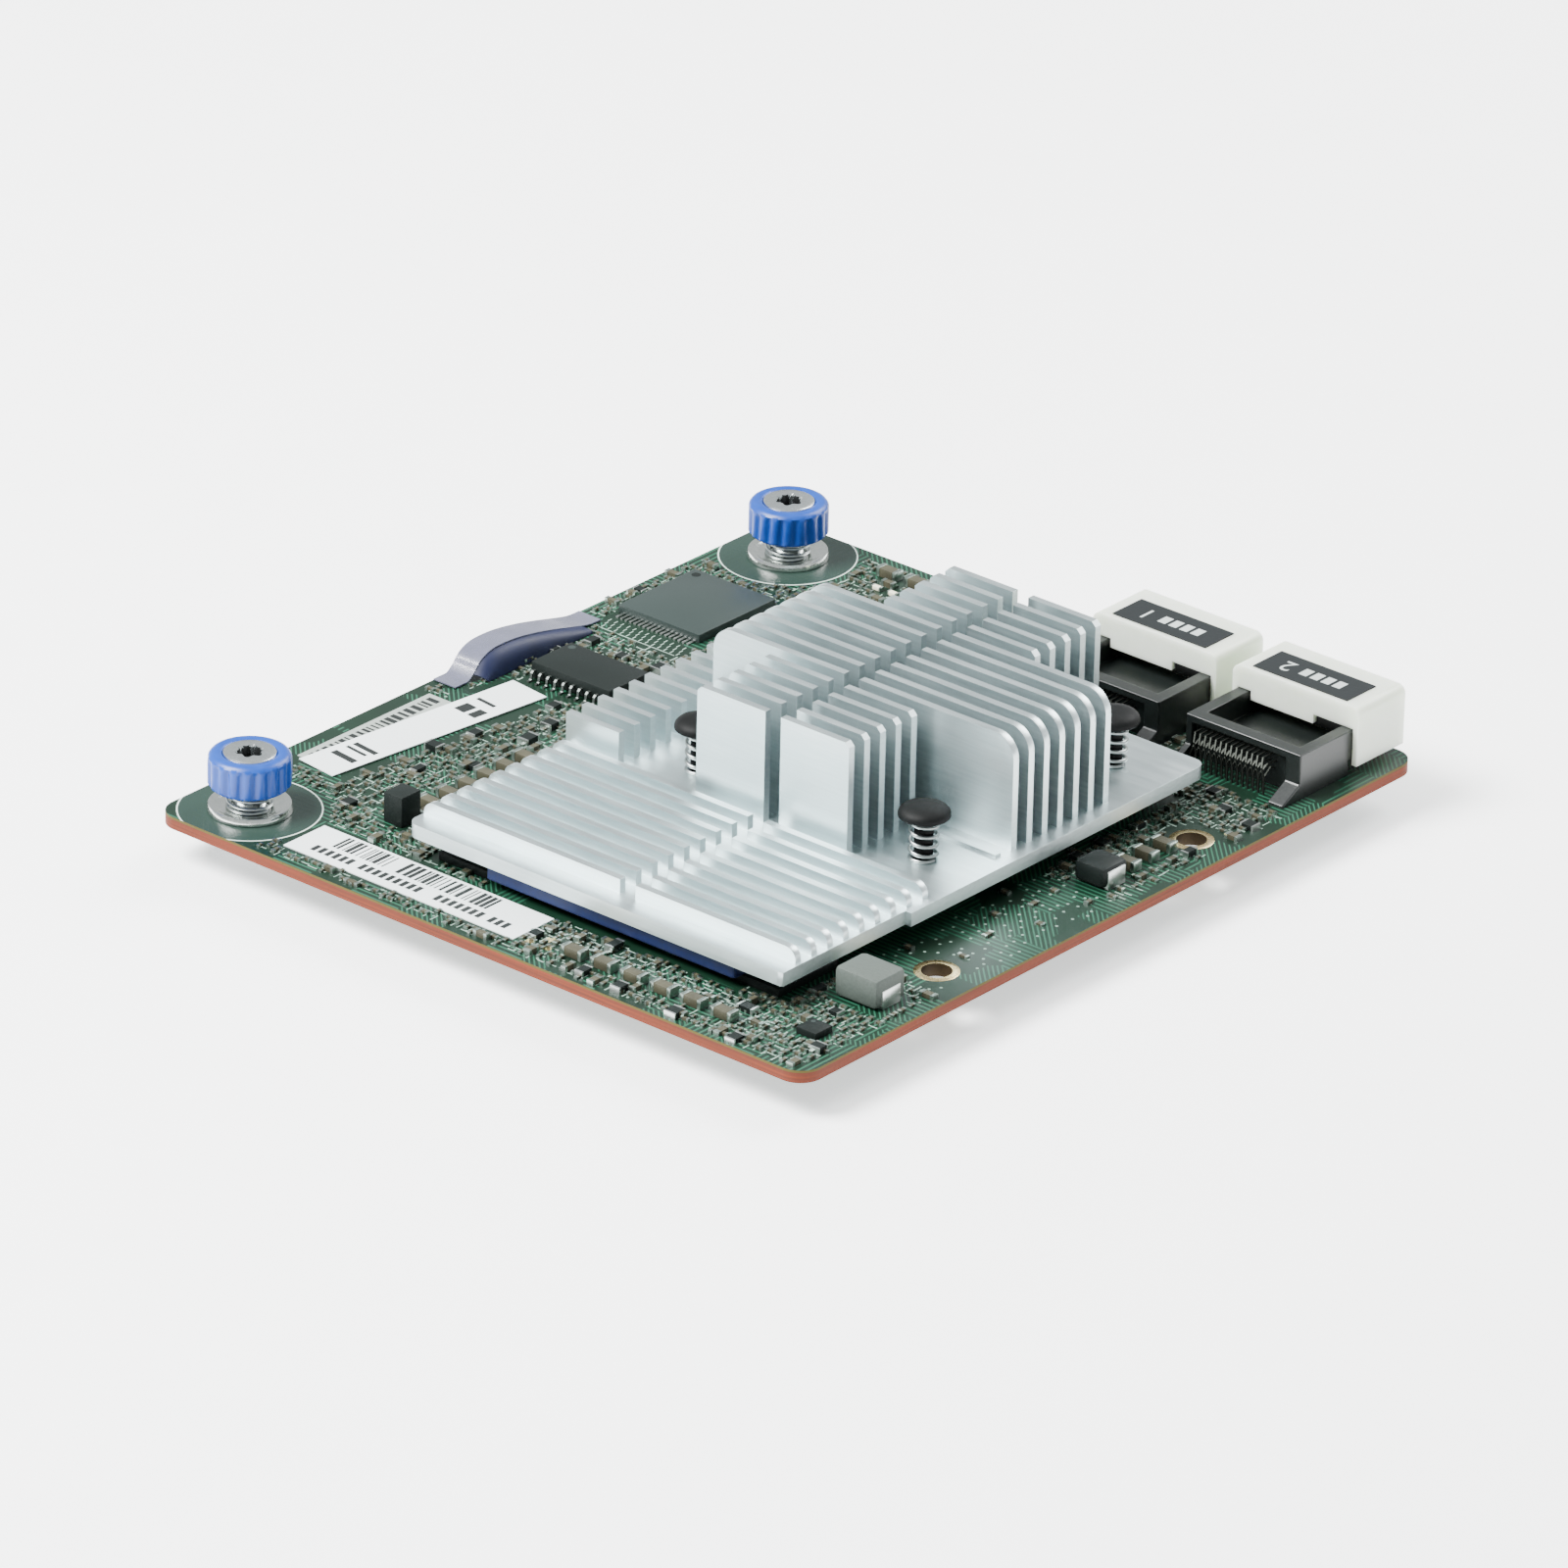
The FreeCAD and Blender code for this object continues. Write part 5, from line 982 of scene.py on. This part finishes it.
# Thin gold flash over nickel, in the housing's shade: dull grey with a little warmth.
tail_metal = worked("gold_flashed_tails", "#131513", "#4a4d48", 0.0006, 0.55, Metallic=1.0)
pitch = 0.0008
for number in (1, 2):
    soften(dress(f"drive_receptacle_{number}", receptacle_nylon), 0.00018)
    low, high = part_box(f"receptacle_contacts_{number}")
    shape = bmesh.new()
    top, foot = high.z, low.z + 0.0001
    # The upper row leans one way and the two lower rows the other, so that they cross as they come down.
    upper = [(high.y, top - 0.0002), (low.y + 0.0008, top - 0.0002), (low.y + 0.0001, top - 0.0012),
             (low.y + 0.0001, low.z + 0.0020), (low.y + 0.0001, foot)]
    middle = [(high.y, top - 0.0012), (low.y + 0.0013, top - 0.0010), (low.y + 0.0005, top - 0.0020),
              (low.y + 0.0005, low.z + 0.0016), (low.y + 0.0005, foot)]
    lower = [(high.y, top - 0.0022), (low.y + 0.0021, top - 0.0018), (low.y + 0.0013, top - 0.0028),
             (low.y + 0.0012, low.z + 0.0012), (low.y + 0.0012, foot)]
    for path, shift, lean in ((upper, 0.0, 0.0008), (middle, pitch / 2, -0.0008),
                              (lower, pitch / 4, -0.0004)):
        bent_strip(shape, path, 0.0002, 0.00016, (low.x + 0.0006 + shift, 0, 0), [0, 0, lean / 2, lean, lean])
    count = int((high.x - low.x - 0.0014) / pitch)
    rows = grown_mesh(f"receptacle_tails_{number}", row_tree, mesh_of(shape, "tails"), Count=count,
                      Step=(pitch, 0, 0), Finish=tail_metal)
    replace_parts(finished_piece(f"receptacle_tails_{number}", rows, "card"),
                f"receptacle_contacts_{number}")

# ---- Port caps
# Dust caps moulded in milky polypropylene are pushed over the receptacles' mouths. A slate film label on
# each carries only its port number and plain bars.

# Natural polypropylene: milky, waxy, lets soft light through.
milky_plastic = worked("milky_polypropylene", "#dbe9cd", "#eff7e6", 0.0012, 0.36, IOR=1.49,
                       Transmission_Weight=0.15, Subsurface_Weight=0.85,
                       Subsurface_Radius=(0.002, 0.002, 0.0018), Subsurface_Scale=1.0)
# Printed polyester film: flat slate, nearly black, with a weak sheen.
slate_film = worked("slate_label_film", "#0c1012", "#161b1c", 0.0005, 0.5, IOR=1.5, Specular_IOR_Level=0.3)
# Ink: pale grey, flat.
label_ink = worked("pale_label_ink", "#98a19e", "#c2c9c6", 0.0005, 0.5, IOR=1.5)


def printed_number(name, digit, middle, height, level, finish):
    """A plain numeral laid flat on a label, to be read from the rear."""
    half_ink = 0.000005
    text = bpy.data.curves.new(name, "FONT")
    text.body = str(digit)
    text.size = height * 1.4
    text.align_x = "CENTER"
    text.align_y = "CENTER"
    text.extrude = half_ink
    writing = bpy.data.objects.new(name, text)
    bpy.context.scene.collection.objects.link(writing)
    bpy.context.view_layer.update()
    mesh = bpy.data.meshes.new_from_object(writing.evaluated_get(bpy.context.evaluated_depsgraph_get()))
    bpy.data.objects.remove(writing)
    shape = bmesh.new()
    shape.from_mesh(mesh)
    for vert in shape.verts:
        vert.co = Vector((middle.x - vert.co.x, middle.y - vert.co.y, level + half_ink + vert.co.z))
    bmesh.ops.remove_doubles(shape, verts=shape.verts, dist=1e-6)
    return finished_piece(name, mesh_of(shape, name), "card", finish)


for number in (1, 2):
    soften(dress(f"port_cap_{number}", milky_plastic), 0.0002, 3)
    dress(f"cap_label_{number}", slate_film)
    low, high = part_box(f"cap_label_{number}")
    middle = (low + high) / 2
    printed_number(f"port_number_{number}", number, middle + Vector((-0.0040, 0, 0)), 0.0026, high.z,
                   label_ink)
    bars = [(middle.x - 0.0018 + 0.0017 * k, middle.y - 0.0009, 0.0012, 0.0018) for k in range(4)]
    printed_bars(f"port_bars_{number}", bars, high.z, label_ink)

# ---- Labels and pull loop
# White paper labels, printed with plain bars, are stuck on the board's free corners, with a silver strip
# beside them. A loop of clear lavender film, blue-black inside, stands up at the left edge as a pull.

# Coated paper: bright, barely textured at 0.2 mm.
label_paper = worked("coated_label_paper", "#d2dbdb", "#edf2f1", 0.0002, 0.5, IOR=1.5)
# Thermal-transfer ink: flat black.
black_ink = worked("black_print_ink", "#0e1111", "#1e2322", 0.0004, 0.6, IOR=1.5, Specular_IOR_Level=0.3)
# Polyester film with aluminium dust in its coat: a soft grey that is half metal.
silver_film = worked("silver_label_film", "#98a29b", "#c1c9c2", 0.0005, 0.35, Metallic=0.4)
dress("barcode_label", label_paper)
dress("serial_label", label_paper)
dress("edge_strip_label", silver_film)
random.seed(7)
low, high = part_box("barcode_label")
bars = []
for start, stop in ((0.0045, 0.0125), (0.0145, 0.0285)):
    x = low.x + start
    while x < low.x + stop:
        width = random.choice((0.0002, 0.0004, 0.0006))
        bars.append((x, high.y - 0.0036, width, 0.0031))
        x += width + random.choice((0.0002, 0.0003, 0.0005))
for start, length in ((0.003, 0.006), (0.0105, 0.009), (0.0225, 0.007), (0.031, 0.003)):
    x = low.x + start
    while x < low.x + start + length:
        bars.append((x, low.y + 0.0013, 0.0007, 0.0015))
        x += 0.0011
printed_bars("barcode_label_bars", bars, high.z, black_ink)
# Gold test pads lie bare beside the paper label.
pads = [(high.x + 0.0012 + 0.0014 * k, low.y + 0.0006 + 0.0016 * (k % 2), 0.0010, 0.0011) for k in range(4)]
printed_bars("test_pads", pads, board_top, plated_gold, 0.00004)
strip_low, strip_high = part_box("edge_strip_label")
bars = []
y = strip_low.y + 0.001
while y < strip_high.y - 0.001:
    depth = random.choice((0.0003, 0.0005, 0.0008))
    bars.append((strip_low.x + 0.0008, y, 0.0018, depth))
    y += depth + random.choice((0.0003, 0.0005))
printed_bars("edge_strip_bars", bars, strip_high.z, black_ink)
serial_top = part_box("serial_label")[1].z
shape = bmesh.new()
for start, length, left, right in ((0.004, 0.0010, -0.002, 0.002), (0.0064, 0.0005, -0.002, 0.0015),
                                   (0.0075, 0.0008, -0.002, 0.002), (0.0235, 0.0022, -0.0018, 0.0),
                                   (0.0235, 0.0022, 0.0006, 0.002), (0.0272, 0.0006, -0.002, 0.0012)):
    corners = [(start, left), (start, right), (start + length, right), (start + length, left)]
    printed_patch(shape, [serial_foot + serial_way * a + serial_side * b for a, b in corners], serial_top)
finished_piece("serial_label_bars", mesh_of(shape, "serial_label_bars"), "card", black_ink)

# Clear polyester film: glossy, mostly see-through, with a lavender cast.
film_lavender = worked("lavender_polyester_film", "#8f93b0", "#c4c6dc", 0.003, 0.16, relief=0.0,
                       IOR=1.57, Transmission_Weight=0.75)
# Blue-black and matt, for the loop's downward faces and the flap under it.
film_dark = worked("film_blue_black_side", "#02061c", "#0a1740", 0.003, 0.55, IOR=1.57, Specular_IOR_Level=0.3)
low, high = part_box("film_pull_loop")
span = high.y - low.y
rise = high.z - low.z
# The loop's side view: how far along its box and how high each bend is. A smooth curve joins the bends.
bends = ((0.0, 0.0), (0.05, 0.0), (0.09, 0.02), (0.13, 0.3), (0.17, 0.68), (0.23, 0.93), (0.31, 1.0),
         (0.42, 0.95), (0.56, 0.75), (0.70, 0.47), (0.82, 0.2), (0.90, 0.04), (0.95, 0.0), (1.0, 0.0))
spine = [Vector((low.y + share * span, low.z + 0.0002 + lift * (rise - 0.0003))) for share, lift in bends]
path = []
for a, b, c, d in zip([spine[0]] + spine, spine, spine[1:], spine[2:] + [spine[-1]]):
    for k in range(4):
        t = k / 4
        path.append(0.5 * (2 * b + (c - a) * t + (2 * a - 5 * b + 4 * c - d) * t * t
                           + (3 * b - a - 3 * c + d) * t ** 3))
shape = bmesh.new()
bent_strip(shape, path, high.x - low.x, 0.00016, ((low.x + high.x) / 2, 0, 0))
bmesh.ops.recalc_face_normals(shape, faces=shape.faces)
# Faces that point down take the blue-black finish.
for face in shape.faces:
    face.material_index = 1 if face.normal.z < -0.05 else 0
# A blue-black inner flap comes off the loop's right-hand side and curls down to the board.
curl_reach = 0.0018
skin_thick = 0.0001
rings = []
for point in path:
    share = (point.x - low.y) / span
    fall = 0.93 * max(point.y - low.z, 0)
    if 0.12 < share < 0.86:
        outer, inner = [[shape.verts.new((high.x - 0.0001 + (curl_reach - skin) * math.sin(t * math.pi / 2),
                                          point.x + 0.0010 * t,
                                          low.z + 0.0001 + (fall - skin) * math.cos(t * math.pi / 2)))
                         for t in (0, 0.2, 0.4, 0.6, 0.8, 1.0)] for skin in (0, skin_thick)]
        rings.append(outer + inner[::-1])
for face in tube(shape, rings):
    face.material_index = 1
mesh = mesh_of(shape, "film_loop", 50, (film_lavender, film_dark))
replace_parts(finished_piece("film_loop", mesh, "card"), "film_pull_loop")

# ---- Floor, light and camera
# A plain pale floor, two large soft lamps and an even pale sky, as in a small-product studio. The camera
# stands a little to the right of the front, a long way off, and looks down on the card.

# Matt paper, lit from behind so that it stays white under the card.
floor_finish = worked("studio_floor", "#f8f9f9", "#ffffff", 0.02, 0.8, relief=0.0,
                      Emission_Color=(1, 1, 1, 1), Emission_Strength=1.0)
shape = bmesh.new()
shape.faces.new([shape.verts.new((x, y, 0)) for x, y in ((-3, -3), (3, -3), (3, 3), (-3, 3))])
floor = bpy.data.objects.new("studio_floor", mesh_of(shape, "studio_floor", finishes=(floor_finish,)))
bpy.context.scene.collection.objects.link(floor)

sky = bpy.data.worlds.new("pale_sky")
sky.use_nodes = True
sky.node_tree.nodes["Background"].inputs["Color"].default_value = colour("#f1f6f8")
sky.node_tree.nodes["Background"].inputs["Strength"].default_value = 0.85
bpy.context.scene.world = sky
for name, spot, size, power in (("key_lamp", (-0.35, -0.45, 0.75), 0.45, 38.0),
                                ("rim_lamp", (0.1, 0.7, 0.6), 0.5, 11.0)):
    lamp = bpy.data.lights.new(name, "AREA")
    lamp.size = size
    lamp.energy = power
    holder = bpy.data.objects.new(name, lamp)
    holder.location = spot
    holder.rotation_euler = (-Vector(spot)).to_track_quat("-Z", "Y").to_euler()
    bpy.context.scene.collection.objects.link(holder)

azimuth = math.radians(40.084)
elevation = math.radians(25.864)
roll = math.radians(-1.242)
distance = 1.41013
target = Vector((-0.000474, -0.000712, board_top))
back = Vector((math.sin(azimuth) * math.cos(elevation), -math.cos(azimuth) * math.cos(elevation),
               math.sin(elevation)))
level_right = Vector((math.cos(azimuth), math.sin(azimuth), 0))
level_up = back.cross(level_right)
right = math.cos(roll) * level_right - math.sin(roll) * level_up
up = math.sin(roll) * level_right + math.cos(roll) * level_up
lens = bpy.data.cameras.new("studio_camera")
lens.lens = 270
lens.sensor_width = 36
camera = bpy.data.objects.new("studio_camera", lens)
turn = [[right[k], up[k], back[k]] for k in range(3)]
camera.matrix_world = Matrix.Translation(target + back * distance) @ Matrix(turn).to_4x4()
bpy.context.scene.collection.objects.link(camera)
bpy.context.scene.camera = camera
